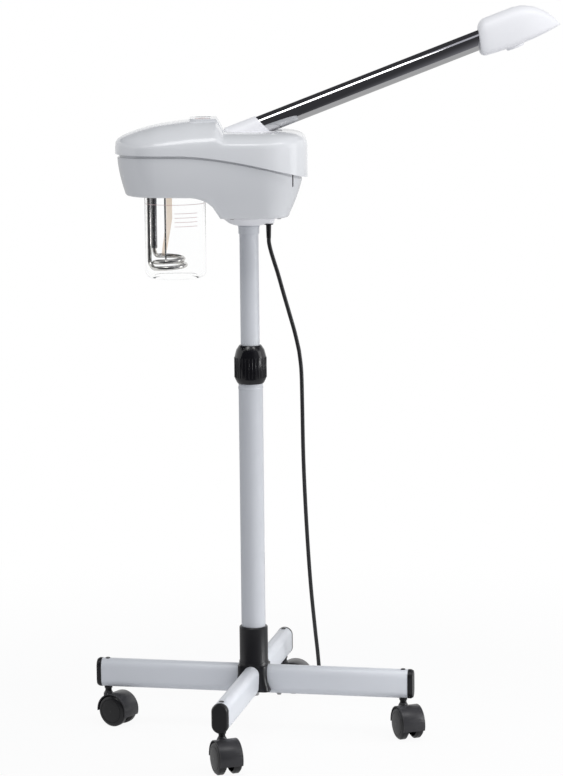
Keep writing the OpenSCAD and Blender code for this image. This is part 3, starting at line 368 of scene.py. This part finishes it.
def paint(key):
    """Each finish of the steamer, made once."""
    if key in PALETTE:
        return PALETTE[key]
    f = bpy.context.scene.steamer_finishes
    makers = {
        "shell": lambda: finish("gloss_white_shell", f.shell, 0.22, depth=0.012, grain=500.0,
                                tone=0.012, coat=0.35, dust=0.03),
        "nozzle": lambda: finish("satin_white_nozzle", f.nozzle, 0.42, depth=0.012, grain=500.0,
                                 tone=0.012, tone_scale=4.0, dust=0.03),
        "paint": lambda: finish("frame_powder_coat", f.frame_paint, 0.36, depth=0.05, grain=1500.0,
                                tone=0.03, tone_scale=5.0, dust=0.05),
        # Painted shade: the column gets a darker copy of the legs' frame paint, standing in for the
        # light that falls on it less.
        "column": lambda: finish("column_powder_coat", [tone * COLUMN_PAINTED_SHADE for tone in f.frame_paint],
                                 0.36, depth=0.05, grain=1500.0, tone=0.03, tone_scale=5.0, dust=0.05),
        "black": lambda: finish("black_moulding", f.black, 0.36, depth=0.04, grain=1800.0,
                                tone=0.15, dust=0.01, specular=0.4),
        "collar": lambda: finish("gloss_black_collar", (0.006, 0.006, 0.008), 0.16, depth=0.01,
                                 grain=1800.0, tone=0.10, dust=0.004),
        "charcoal": lambda: finish("charcoal_nylon", f.wheel, 0.40, depth=0.06, grain=1500.0,
                                   tone=0.12, tone_scale=30.0, dust=0.02),
        "hood": lambda: finish("hood_nylon", f.hood, 0.34, depth=0.05, grain=1500.0, tone=0.08,
                               tone_scale=30.0, dust=0.02),
        "wheel": lambda: finish("wheel_nylon", f.wheel, 0.30, depth=0.03, grain=1500.0, tone=0.12,
                                tone_scale=30.0, dust=0.01),
        "steel": lambda: finish("zinc_steel", (0.55, 0.55, 0.56), 0.32, 1.0, depth=0.02,
                                grain=1200.0, tone=0.08, tone_scale=50.0),
        "flange": lambda: finish("cast_flange", (0.62, 0.63, 0.64), 0.38, 1.0, depth=0.05,
                                 grain=900.0, tone=0.06, tone_scale=30.0),
        "chrome": lambda: finish("arm_chrome", f.chrome, 0.05, 1.0, depth=0.002, tone=0.02,
                                 tone_scale=12.0, lines=(0.0, ARM_TILT, 0.0)),
        "heater": lambda: finish("heater_steel", f.heater, 0.16, 1.0, depth=0.01, grain=700.0,
                                 tone=0.15, tone_scale=60.0),
        "sheath": lambda: finish("sheath_steel", (0.30, 0.30, 0.31), 0.25, 1.0, depth=0.01,
                                 grain=700.0, tone=0.10, tone_scale=40.0),
        "sleeve": lambda: clear_glass("probe_sleeve", (1.0, 0.78, 0.56), 1.1, 0.6, clear=0.74),
        "silicone": lambda: finish("hose_silicone", (0.72, 0.70, 0.64), 0.45, depth=0.02,
                                   tone=0.05, tone_scale=40.0),
        "board": lambda: finish("board_mask", (0.02, 0.12, 0.05), 0.35, depth=0.02, tone=0.2,
                                tone_scale=120.0),
        "red": lambda: finish("red_rocker", (0.45, 0.015, 0.012), 0.25, depth=0.01, tone=0.04,
                              coat=0.3),
        "rocker": lambda: finish("black_rocker", (0.02, 0.02, 0.022), 0.28, depth=0.02, tone=0.1),
        "amber": lambda: finish("amber_lens", (0.75, 0.16, 0.03), 0.12, depth=0.01, tone=0.06,
                                coat=0.5),
        "cord": lambda: finish("cord_sheath", (0.016, 0.016, 0.018), 0.40, depth=0.03,
                               grain=1600.0, tone=0.12, tone_scale=30.0),
        "pins": lambda: finish("nickel_pins", (0.62, 0.60, 0.56), 0.22, 1.0, depth=0.01,
                               tone=0.05, tone_scale=60.0),
        "ink": lambda: finish("level_ink", (0.72, 0.50, 0.50), 0.5, depth=0.01, tone=0.05),
        "glass": lambda: clear_glass("jar_glass", (0.99, 0.995, 0.995), 1.035),
        "lamp": lambda: clear_glass("lamp_quartz", (0.90, 0.93, 0.99), 1.45, 0.05),
    }
    PALETTE[key] = makers[key]()
    return PALETTE[key]


# ------------------------------------------------------------------ mesh helpers
def body_of_node(node):
    """The body that a CAD node belongs to."""
    for body, members in frame["record"]["behaviour"]["bodies"].items():
        if node in members:
            return body
    raise RuntimeError("no body holds " + node)


def slot_of_node(node):
    """The material slot that the record gives to a CAD node."""
    for entry in frame["record"]["subparts"]:
        if entry["node"] == node:
            return entry["material_slot"]
    raise RuntimeError("no slot for " + node)


def link(name, data):
    """A new object over a mesh, a camera or a lamp, in the scene."""
    made = bpy.data.objects.new(name, data)
    bpy.context.scene.collection.objects.link(made)
    return made


def smooth(mesh, angle=BREAK_ANGLE):
    """Smooth shading that breaks at edges sharper than angle."""
    work = bmesh.new()
    work.from_mesh(mesh)
    limit = math.radians(angle)
    for face in work.faces:
        face.smooth = True
    for edge in work.edges:
        edge.smooth = len(edge.link_faces) == 2 and edge.calc_face_angle(math.pi) < limit
    work.to_mesh(mesh)
    work.free()


def apply_all(made):
    """Replaces an object's mesh by what its modifiers make of it."""
    graph = bpy.context.evaluated_depsgraph_get()
    result = bpy.data.meshes.new_from_object(made.evaluated_get(graph), depsgraph=graph)
    made.modifiers.clear()
    old = made.data
    made.data = result
    bpy.data.meshes.remove(old)
    return made


def dressed(node, finish_key, angle=BREAK_ANGLE, bevel=0.0):
    """A merged, smooth-shaded piece over one CAD node, with its sharp edges eased."""
    mesh = frame["nodes"][node].data.copy()
    mesh.materials.clear()
    work = bmesh.new()
    work.from_mesh(mesh)
    bmesh.ops.remove_doubles(work, verts=work.verts, dist=WELD)
    if bevel:
        bmesh.ops.dissolve_limit(work, angle_limit=math.radians(FLAT_ANGLE), verts=work.verts,
                                 edges=work.edges)
    work.to_mesh(mesh)
    work.free()
    if mesh.has_custom_normals:
        mesh.normals_split_custom_set([(0.0, 0.0, 0.0)] * len(mesh.loops))
    made = link(node + "_piece", mesh)
    if bevel:
        edge = made.modifiers.new("ease", "BEVEL")
        edge.width = bevel * MM
        edge.segments = 2
        edge.limit_method = "ANGLE"
        edge.angle_limit = math.radians(EASE_ANGLE)
        apply_all(made)
    smooth(made.data, angle)
    made.data.materials.clear()
    made.data.materials.append(paint(finish_key))
    return settle(made, body_of_node(node), slot_of_node(node), node)


def settle(made, body, slot, *nodes):
    """Puts a piece on its body, or on none where body is None, and hides the CAD nodes under it."""
    if body:
        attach(made, body)
    if nodes:
        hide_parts(*nodes)
    return made


def wire_together(group, *nodes):
    """Links each node's first output to the next node's first input."""
    for one, following in zip(nodes, nodes[1:]):
        group.links.new(one.outputs[0], following.inputs[0])


def sweep_tree(flat):
    """An edge path grows into a closed bar: round, or a flat band across the path."""
    group = new_group("flat_band" if flat else "round_bar", "GeometryNodeTree")
    socket(group, "Path", "INPUT", "NodeSocketGeometry")
    socket(group, "Width", "INPUT", value=0.006, low=0.0001, high=0.1)
    socket(group, "Thickness", "INPUT", value=0.001, low=0.0001, high=0.1)
    socket(group, "Sides", "INPUT", "NodeSocketInt", 20, 3, 64)
    socket(group, "Finish", "INPUT", "NodeSocketMaterial")
    socket(group, "Bar", "OUTPUT", "NodeSocketGeometry")
    into, out = add(group, "NodeGroupInput"), add(group, "NodeGroupOutput")
    if flat:
        profile = add(group, "GeometryNodeCurvePrimitiveQuadrilateral")
        group.links.new(into.outputs["Width"], profile.inputs["Width"])
        group.links.new(into.outputs["Thickness"], profile.inputs["Height"])
    else:
        profile = add(group, "GeometryNodeCurvePrimitiveCircle")
        group.links.new(into.outputs["Sides"], profile.inputs["Resolution"])
        group.links.new(maths(group, "MULTIPLY", into.outputs["Width"], 0.5), profile.inputs["Radius"])
    bar = put(add(group, "GeometryNodeCurveToMesh"), Fill_Caps=True)
    group.links.new(profile.outputs[0], bar.inputs["Profile Curve"])
    skin = add(group, "GeometryNodeSetMaterial")
    group.links.new(into.outputs["Finish"], skin.inputs["Material"])
    wire_together(group, into, add(group, "GeometryNodeMeshToCurve"), bar,
                  add(group, "GeometryNodeRealizeInstances"), skin, out)
    return group


def mark_tree():
    """Equal arcs round a cylinder, one over another: the printed level marks of a jar."""
    group = new_group("level_marks", "GeometryNodeTree")
    socket(group, "Geometry", "INPUT", "NodeSocketGeometry")
    socket(group, "Radius", "INPUT", value=0.0445, low=0.001, high=1.0)
    socket(group, "Start Angle", "INPUT", value=-1.6, low=-7.0, high=7.0)
    socket(group, "Sweep Angle", "INPUT", value=0.8, low=0.0, high=7.0)
    socket(group, "Count", "INPUT", "NodeSocketInt", 4, 1, 40)
    socket(group, "Step", "INPUT", "NodeSocketVector")
    socket(group, "Lowest", "INPUT", "NodeSocketVector")
    socket(group, "Line Width", "INPUT", value=0.0006, low=0.0001, high=0.01)
    socket(group, "Finish", "INPUT", "NodeSocketMaterial")
    socket(group, "Marks", "OUTPUT", "NodeSocketGeometry")
    into, out = add(group, "NodeGroupInput"), add(group, "NodeGroupOutput")
    arc = put(add(group, "GeometryNodeCurveArc"), Resolution=24)
    for key in ("Radius", "Start Angle", "Sweep Angle"):
        group.links.new(into.outputs[key], arc.inputs[key])
    profile = put(add(group, "GeometryNodeCurvePrimitiveCircle"), Resolution=6)
    group.links.new(maths(group, "MULTIPLY", into.outputs["Line Width"], 0.5), profile.inputs["Radius"])
    line = put(add(group, "GeometryNodeCurveToMesh"), Fill_Caps=True)
    group.links.new(arc.outputs[0], line.inputs["Curve"])
    group.links.new(profile.outputs[0], line.inputs["Profile Curve"])
    rows = add(group, "GeometryNodeMeshLine", mode="OFFSET")
    for key, value in (("Count", "Count"), ("Start Location", "Lowest"), ("Offset", "Step")):
        group.links.new(into.outputs[value], rows.inputs[key])
    repeat = add(group, "GeometryNodeInstanceOnPoints")
    group.links.new(line.outputs[0], repeat.inputs["Instance"])
    skin = add(group, "GeometryNodeSetMaterial")
    group.links.new(into.outputs["Finish"], skin.inputs["Material"])
    wire_together(group, rows, repeat, add(group, "GeometryNodeRealizeInstances"), skin, out)
    return group


def grown(name, tree, points, closed=False, **values):
    """Runs a Geometry Nodes tree on an edge path and keeps the mesh that it makes."""
    mesh = bpy.data.meshes.new(name)
    edges = [(i, i + 1) for i in range(len(points) - 1)]
    if closed:
        edges.append((len(points) - 1, 0))
    mesh.from_pydata([tuple(p) for p in points], edges, [])
    made = link(name, mesh)
    modifier = made.modifiers.new("grow", "NODES")
    modifier.node_group = tree
    for item in tree.interface.items_tree:
        key = item.name.replace(" ", "_")
        if item.in_out == "INPUT" and key in values:
            modifier[item.identifier] = values[key]
    apply_all(made)
    work = bmesh.new()
    work.from_mesh(made.data)
    bmesh.ops.recalc_face_normals(work, faces=work.faces)
    work.to_mesh(made.data)
    work.free()
    smooth(made.data, BAR_ANGLE)
    return made


def curve_through(route, steps):
    """Catmull-Rom points through a route."""
    points = []
    last = len(route) - 1
    for i in range(last):
        a, b, c, d = (route[max(i - 1, 0)], route[i], route[i + 1], route[min(i + 2, last)])
        for k in range(steps):
            t = k / steps
            points.append(0.5 * (2 * b + (c - a) * t + (2 * a - 5 * b + 4 * c - d) * t * t
                                 + (3 * b - 3 * c + d - a) * t ** 3))
    points.append(route[last])
    return points


# ------------------------------------------------------------------ camera and stage
def look_camera():
    """Sets up the camera and makes it the scene's own."""
    yaw, pitch, roll = CAMERA_YAW, CAMERA_PITCH, CAMERA_ROLL
    ahead = Vector((math.sin(yaw) * math.cos(pitch), math.cos(yaw) * math.cos(pitch), -math.sin(pitch)))
    level = Vector((math.cos(yaw), -math.sin(yaw), 0.0))
    above = level.cross(ahead)
    right = math.cos(roll) * level + math.sin(roll) * above
    up = math.cos(roll) * above - math.sin(roll) * level
    data = bpy.data.cameras.new("view")
    data.sensor_width = SENSOR
    data.lens = LENS
    data.clip_start, data.clip_end = CLIP_NEAR, CLIP_FAR
    camera = link("view", data)
    turn = Matrix((right, up, -ahead)).transposed()
    camera.matrix_world = Matrix.Translation(CAMERA_AT) @ turn.to_4x4()
    bpy.context.scene.camera = camera


def floor_material(base):
    """Pale card that the camera sees as white, and that keeps a faint shade near the object."""
    material, tree, out = blank_material("pale_floor")
    shaded = add(tree, "ShaderNodeBsdfDiffuse")
    shaded.inputs["Color"].default_value = (*base, 1.0)
    glow = add(tree, "ShaderNodeEmission")
    rays = add(tree, "ShaderNodeLightPath")
    bounced = maths(tree, "SUBTRACT", rays.outputs["Is Glossy Ray"],
                    rays.outputs["Is Transmission Ray"], clamp=True)
    dimmed = maths(tree, "MULTIPLY", bounced, 1.0 - FLOOR_MIRRORED)
    tree.links.new(maths(tree, "SUBTRACT", 1.0, dimmed), glow.inputs["Strength"])
    place = add(tree, "ShaderNodeTexCoord")
    reach = add(tree, "ShaderNodeVectorMath", operation="LENGTH")
    tree.links.new(place.outputs["Object"], reach.inputs[0])
    glowing = ranged(tree, reach.outputs["Value"], FLOOR_GLOW, 1.0, GLOW_NEAR, GLOW_FAR, "SMOOTHSTEP")
    share = maths(tree, "MULTIPLY", looked_at(tree, rays), glowing)
    tree.links.new(shader_mix(tree, share, shaded, glow), out.inputs["Surface"])
    return material


def flag_material(name, tone, start, end, times):
    """A dark card that only real reflections show, and that grows paler along X."""
    material, tree, out = blank_material(name)
    glow = add(tree, "ShaderNodeEmission")
    glow.inputs["Color"].default_value = (*tone, 1.0)
    place, axis = add(tree, "ShaderNodeTexCoord"), add(tree, "ShaderNodeSeparateXYZ")
    tree.links.new(place.outputs["Object"], axis.inputs[0])
    tree.links.new(ranged(tree, axis.outputs["X"], 1.0, times, start, end, "SMOOTHSTEP"),
                   glow.inputs["Strength"])
    rays = add(tree, "ShaderNodeLightPath")
    mirrored = maths(tree, "GREATER_THAN", rays.outputs["Glossy Depth"], 0.5)
    tree.links.new(shader_mix(tree, mirrored, add(tree, "ShaderNodeBsdfTransparent"), glow),
                   out.inputs["Surface"])
    return material


def card(name, corners, material):
    """A flat card that belongs to the stage."""
    mesh = bpy.data.meshes.new(name)
    mesh.from_pydata(corners, [], [tuple(range(len(corners)))])
    mesh.materials.append(material)
    made = link(name, mesh)
    return made


class STEAMER_OT_stage(bpy.types.Operator):
    """Sets the camera, the pale floor and the soft studio light"""
    bl_idname = "steamer.stage"
    bl_label = "Stage"

    def execute(self, context):
        scene, settings = context.scene, context.scene.steamer_stage
        scene.view_settings.view_transform = "Standard"
        look_camera()
        r = FLOOR_REACH
        card("floor", [(-r, -r, 0), (r, -r, 0), (r, r, 0), (-r, r, 0)], floor_material(settings.floor))
        for name, start, end, times, corners in FLAGS:
            dark = card(name, corners, flag_material(name, settings.flag, start, end, times))
            dark.visible_camera = dark.visible_diffuse = False
            dark.visible_volume_scatter = dark.visible_shadow = False
        self.surround(scene, settings.fill)
        for name, at, aim, size, power, share, spread in LAMPS:
            lamp = bpy.data.lights.new(name, "AREA")
            lamp.shape = "RECTANGLE"
            lamp.size, lamp.size_y = size
            lamp.energy = getattr(settings, power) * share
            lamp.spread = math.radians(spread)
            made = link(name, lamp)
            made.location = at
            made.rotation_euler = (Vector(aim) - Vector(at)).to_track_quat("-Z", "Y").to_euler()
        return {"FINISHED"}

    def surround(self, scene, strength):
        """A surround that looks white and lights softly."""
        scene.world = bpy.data.worlds.new("studio")
        scene.world.use_nodes = True
        tree = scene.world.node_tree
        tree.nodes.clear()
        out = add(tree, "ShaderNodeOutputWorld")
        seen, soft = add(tree, "ShaderNodeBackground"), add(tree, "ShaderNodeBackground")
        seen.inputs["Color"].default_value = (1.0, 1.0, 1.0, 1.0)
        soft.inputs["Color"].default_value = SURROUND_COLOUR
        soft.inputs["Strength"].default_value = strength
        looking = looked_at(tree, add(tree, "ShaderNodeLightPath"))
        tree.links.new(shader_mix(tree, looking, soft, seen), out.inputs["Surface"])


# ------------------------------------------------------------------ cord
# The lead's way in millimetres: down from the gland behind the column, then over the floor.
DROP_ROUTE = [(29, 0, 740.2), (29.4, 0, 733), (32, 1, 721), (36.3, 4, 706), (42, 8, 687), (50, 14, 657),
              (58.5, 22, 626), (66.5, 30, 596), (72.5, 36, 568), (75.5, 39, 540), (76.5, 42, 500),
              (78, 60, 400), (82, 85, 300), (88, 115, 200), (95, 148, 120)]
FLOOR_ROUTE = [(99, 166, 80), (102, 182, 45), (106, 200, 16), (109.5, 217, 5), (112, 233, 3.2),
               (114, 250, 3.2)]
JOIN = 8                          # point of DROP_ROUTE where the upper length meets the lower one
DROP_STEPS, RUN_STEPS, TAIL_STEPS = 5, 4, 3     # curve points for each point of a route
COIL_STEPS = 28                   # points in each turn of the coil
CLIMB, UNWIND = 1.25, 1.4         # how fast the lead rises on to the coil, and widens out again
LIFT = 0.0002                     # gap between the coil and the floor
TIE_POINTS, TIE_SQUARENESS = 24, 0.6
TIE_WIDTH, TIE_THICKNESS = 0.006, 0.0008
TIE_STANDS_OFF, TIE_PRESSES = 0.0012, 0.0004    # beside the turns, and from above and below
# The lead's last points, which dip from the coil's top turn into the back of the plug: along X from
# the plug's middle, along Y from the coil's centre, and height.
PLUG_DIP = [(-0.0004, -0.006, 0.0090), (-0.0001, -0.012, 0.0087)]


def coil_path(c):
    """Turns laid beside and on each other: in on the floor, up, and out again on top."""
    d = c.diameter
    inner = c.coil_outer - d
    low, high = d / 2 + LIFT, 1.5 * d + LIFT
    points = []
    for k in range(int(c.turns * COIL_STEPS) + 1):
        t = k / COIL_STEPS
        if t < 1:
            r, z = c.coil_outer - d * t * t * (3 - 2 * t), low
        elif t < 2:
            r, z = inner, low + (high - low) * math.sin(math.pi / 2 * min(1.0, (t - 1) * CLIMB))
        else:
            r, z = inner + d * math.sin(math.pi / 2 * min(1.0, (t - 2) * UNWIND)), high
        a = math.pi - 2 * math.pi * t
        points.append(Vector((c.coil_x + r * math.cos(a), c.coil_y + r * math.sin(a), z)))
    return points


class STEAMER_OT_cord(bpy.types.Operator):
    """Builds the mains lead: the hanging length, the run on the floor and the tied coil"""
    bl_idname = "steamer.cord"
    bl_label = "Mains lead"

    def execute(self, context):
        c = context.scene.steamer_cord
        drop = [Vector(p) * MM for p in DROP_ROUTE]
        upper = curve_through(drop[:JOIN + 1], DROP_STEPS)
        bar = sweep_tree(flat=False)
        lead = grown("cord_upper", bar, upper, Width=c.diameter, Sides=c.sides, Finish=paint("cord"))
        settle(lead, None, "cord_rubber", "cord_drop")
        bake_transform(lead)
        pins = [mount["pos_m"][0] for mount in frame["record"]["mounts"]
                if mount["name"].startswith("plug_pin")]
        middle_x = sum(pins) / len(pins)
        route = drop[JOIN:] + [Vector(p) * MM for p in FLOOR_ROUTE]
        coil = coil_path(c)
        tail = [Vector((middle_x + x, c.coil_y + y, z)) for x, y, z in PLUG_DIP]
        lower = (curve_through(route + [coil[0]], RUN_STEPS)[:-1] + coil
                 + curve_through([coil[-1], *tail], TAIL_STEPS)[1:])
        run = grown("cord_lower", bar, lower, Width=c.diameter, Sides=c.sides, Finish=paint("cord"))
        settle(run, None, "cord_rubber", "cord_floor", "cord_coil")
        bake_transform(run)
        plug_piece = dressed("mains_plug", "cord", bevel=0.4)
        pin_piece = dressed("plug_pins", "pins")
        self.tie(c)
        return {"FINISHED"}

    def tie(self, c):
        """Flat tie round the coil's turns, at its far side."""
        d = c.diameter
        middle = c.coil_y + c.coil_outer - d / 2
        half_wide, half_tall = d + TIE_STANDS_OFF, d - TIE_PRESSES
        loop = []
        for k in range(TIE_POINTS):
            a = 2 * math.pi * (k + 0.5) / TIE_POINTS
            across, up = (math.copysign(abs(v) ** TIE_SQUARENESS, v) for v in (math.cos(a), math.sin(a)))
            loop.append(Vector((c.coil_x, middle + half_wide * across, d + LIFT + half_tall * up)))
        made = grown("cord_tie", sweep_tree(flat=True), loop, closed=True, Width=TIE_WIDTH,
                     Thickness=TIE_THICKNESS, Finish=paint("charcoal"))
        return settle(made, "base", "cord_rubber")


# ------------------------------------------------------------------ pieces over the CAD nodes
class STEAMER_OT_base(bpy.types.Operator):
    """Finishes the hub, the four legs and their caps, plugs and sockets"""
    bl_idname = "steamer.base"
    bl_label = "Base"

    def execute(self, context):
        dressed("hub", "black", bevel=0.5)
        for side in CASTERS:
            dressed("leg_" + side, "paint", bevel=0.2)
        dressed("leg_caps", "black")
        dressed("leg_plugs", "black")
        dressed("stem_sockets", "charcoal")
        dressed("base_fasteners", "steel")
        return {"FINISHED"}


class STEAMER_OT_casters(bpy.types.Operator):
    """Finishes the four twin-wheel casters"""
    bl_idname = "steamer.casters"
    bl_label = "Casters"

    def execute(self, context):
        for side in CASTERS:
            dressed("hood_" + side, "hood", bevel=0.4)
            dressed("pins_" + side, "steel")
            for wheel in ("a", "b"):
                dressed("wheel_%s_%s" % (side, wheel), "wheel", angle=25.0)
        return {"FINISHED"}


class STEAMER_OT_column(bpy.types.Operator):
    """Finishes the column tubes, the lock collar and the parts inside them"""
    bl_idname = "steamer.column"
    bl_label = "Column"

    def execute(self, context):
        # The column's tubes, ring and socket take the darker copy of the frame paint, as painted shade.
        for node, key, bevel in (("lower_tube", "column", 0.2), ("upper_tube", "column", 0.0),
                                 ("mast_ring", "column", 0.2), ("pole_socket", "column", 0.0),
                                 ("slip_bush", "charcoal", 0.0), ("collet", "black", 0.0),
                                 ("lock_collar", "collar", 0.25)):
            dressed(node, key, bevel=bevel)
        return {"FINISHED"}


class STEAMER_OT_head(bpy.types.Operator):
    """Finishes the head shells and what they carry"""
    bl_idname = "steamer.head"
    bl_label = "Head"

    def execute(self, context):
        for node, key, angle in (("lower_housing", "shell", 34.0), ("top_cover", "shell", 34.0),
                                 ("bottom_plate", "nozzle", 30.0), ("housing_screws", "steel", 32.0),
                                 ("cord_gland", "black", 32.0), ("indicator_lamp", "amber", 32.0),
                                 ("power_switch", "red", 32.0), ("ozone_switch", "rocker", 32.0),
                                 ("circuit_board", "board", 30.0), ("ozone_lamp", "lamp", 32.0),
                                 ("steam_hose", "silicone", 40.0)):
            dressed(node, key, angle)
        return {"FINISHED"}


class STEAMER_OT_jar(bpy.types.Operator):
    """Finishes the glass jar, its seat and the heater inside it"""
    bl_idname = "steamer.jar"
    bl_label = "Jar and heater"

    def execute(self, context):
        for node, key, angle in (("glass_jar", "glass", 40.0), ("jar_flange", "flange", 32.0),
                                 ("jar_gasket", "silicone", 32.0), ("heating_coil", "heater", 60.0),
                                 ("sensor_tubes", "sheath", 40.0), ("probe_strip", "sleeve", 30.0)):
            dressed(node, key, angle)
        low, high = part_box("glass_jar")
        middle = [(a + b) / 2 for a, b in zip(low, high)]
        radius = (high[0] - low[0]) / 2
        tree = mark_tree()
        for name, height, count, start, sweep in LEVEL_MARKS:
            marks = grown(name, tree, [(0.0, 0.0, 0.0)], Radius=radius, Start_Angle=math.radians(start),
                          Sweep_Angle=math.radians(sweep), Count=count, Step=(0.0, 0.0, MARK_STEP),
                          Lowest=(middle[0], middle[1], height), Line_Width=MARK_WIDTH,
                          Finish=paint("ink"))
            settle(marks, "jar", "jar_glass")
        return {"FINISHED"}


class STEAMER_OT_arm(bpy.types.Operator):
    """Finishes the turntable, the chrome arm and the nozzle head"""
    bl_idname = "steamer.arm"
    bl_label = "Steam arm"

    def execute(self, context):
        dressed("arm_turntable", "nozzle", bevel=0.5)
        dressed("turntable_ring", "steel")
        dressed("arm_tube", "chrome")
        dressed("nozzle_shell", "nozzle", angle=34.0)
        dressed("nozzle_cover", "nozzle", angle=30.0)
        dressed("steam_outlet", "nozzle", bevel=0.3)
        return {"FINISHED"}


class STEAMER_PT_panel(bpy.types.Panel):
    """Lists the steamer's steps and settings in the sidebar"""
    bl_idname = "STEAMER_PT_panel"
    bl_label = "Facial Steamer"
    bl_space_type = "VIEW_3D"
    bl_region_type = "UI"
    bl_category = "Steamer"

    def draw(self, context):
        layout = self.layout
        for step in STEPS:
            layout.operator("steamer." + step)
        for group in (context.scene.steamer_finishes, context.scene.steamer_cord,
                      context.scene.steamer_stage):
            box = layout.box()
            for key in group.__annotations__:
                box.prop(group, key)


STEPS = ["stage", "cord", "base", "casters", "column", "head", "jar", "arm"]
CLASSES = [SteamerFinishes, SteamerCord, SteamerStage, STEAMER_OT_stage, STEAMER_OT_cord,
           STEAMER_OT_base, STEAMER_OT_casters, STEAMER_OT_column, STEAMER_OT_head,
           STEAMER_OT_jar, STEAMER_OT_arm, STEAMER_PT_panel]


def register():
    """Registers the add-on's classes and its settings."""
    for made in CLASSES:
        bpy.utils.register_class(made)
    bpy.types.Scene.steamer_finishes = PointerProperty(type=SteamerFinishes)
    bpy.types.Scene.steamer_cord = PointerProperty(type=SteamerCord)
    bpy.types.Scene.steamer_stage = PointerProperty(type=SteamerStage)


def unregister():
    """Takes the settings and the classes away again."""
    for key in ("steamer_finishes", "steamer_cord", "steamer_stage"):
        delattr(bpy.types.Scene, key)
    for made in reversed(CLASSES):
        bpy.utils.unregister_class(made)


def main():
    """Builds the steamer step by step."""
    register()
    for step in STEPS:
        getattr(bpy.ops.steamer, step)()


if __name__ == "__main__":
    main()
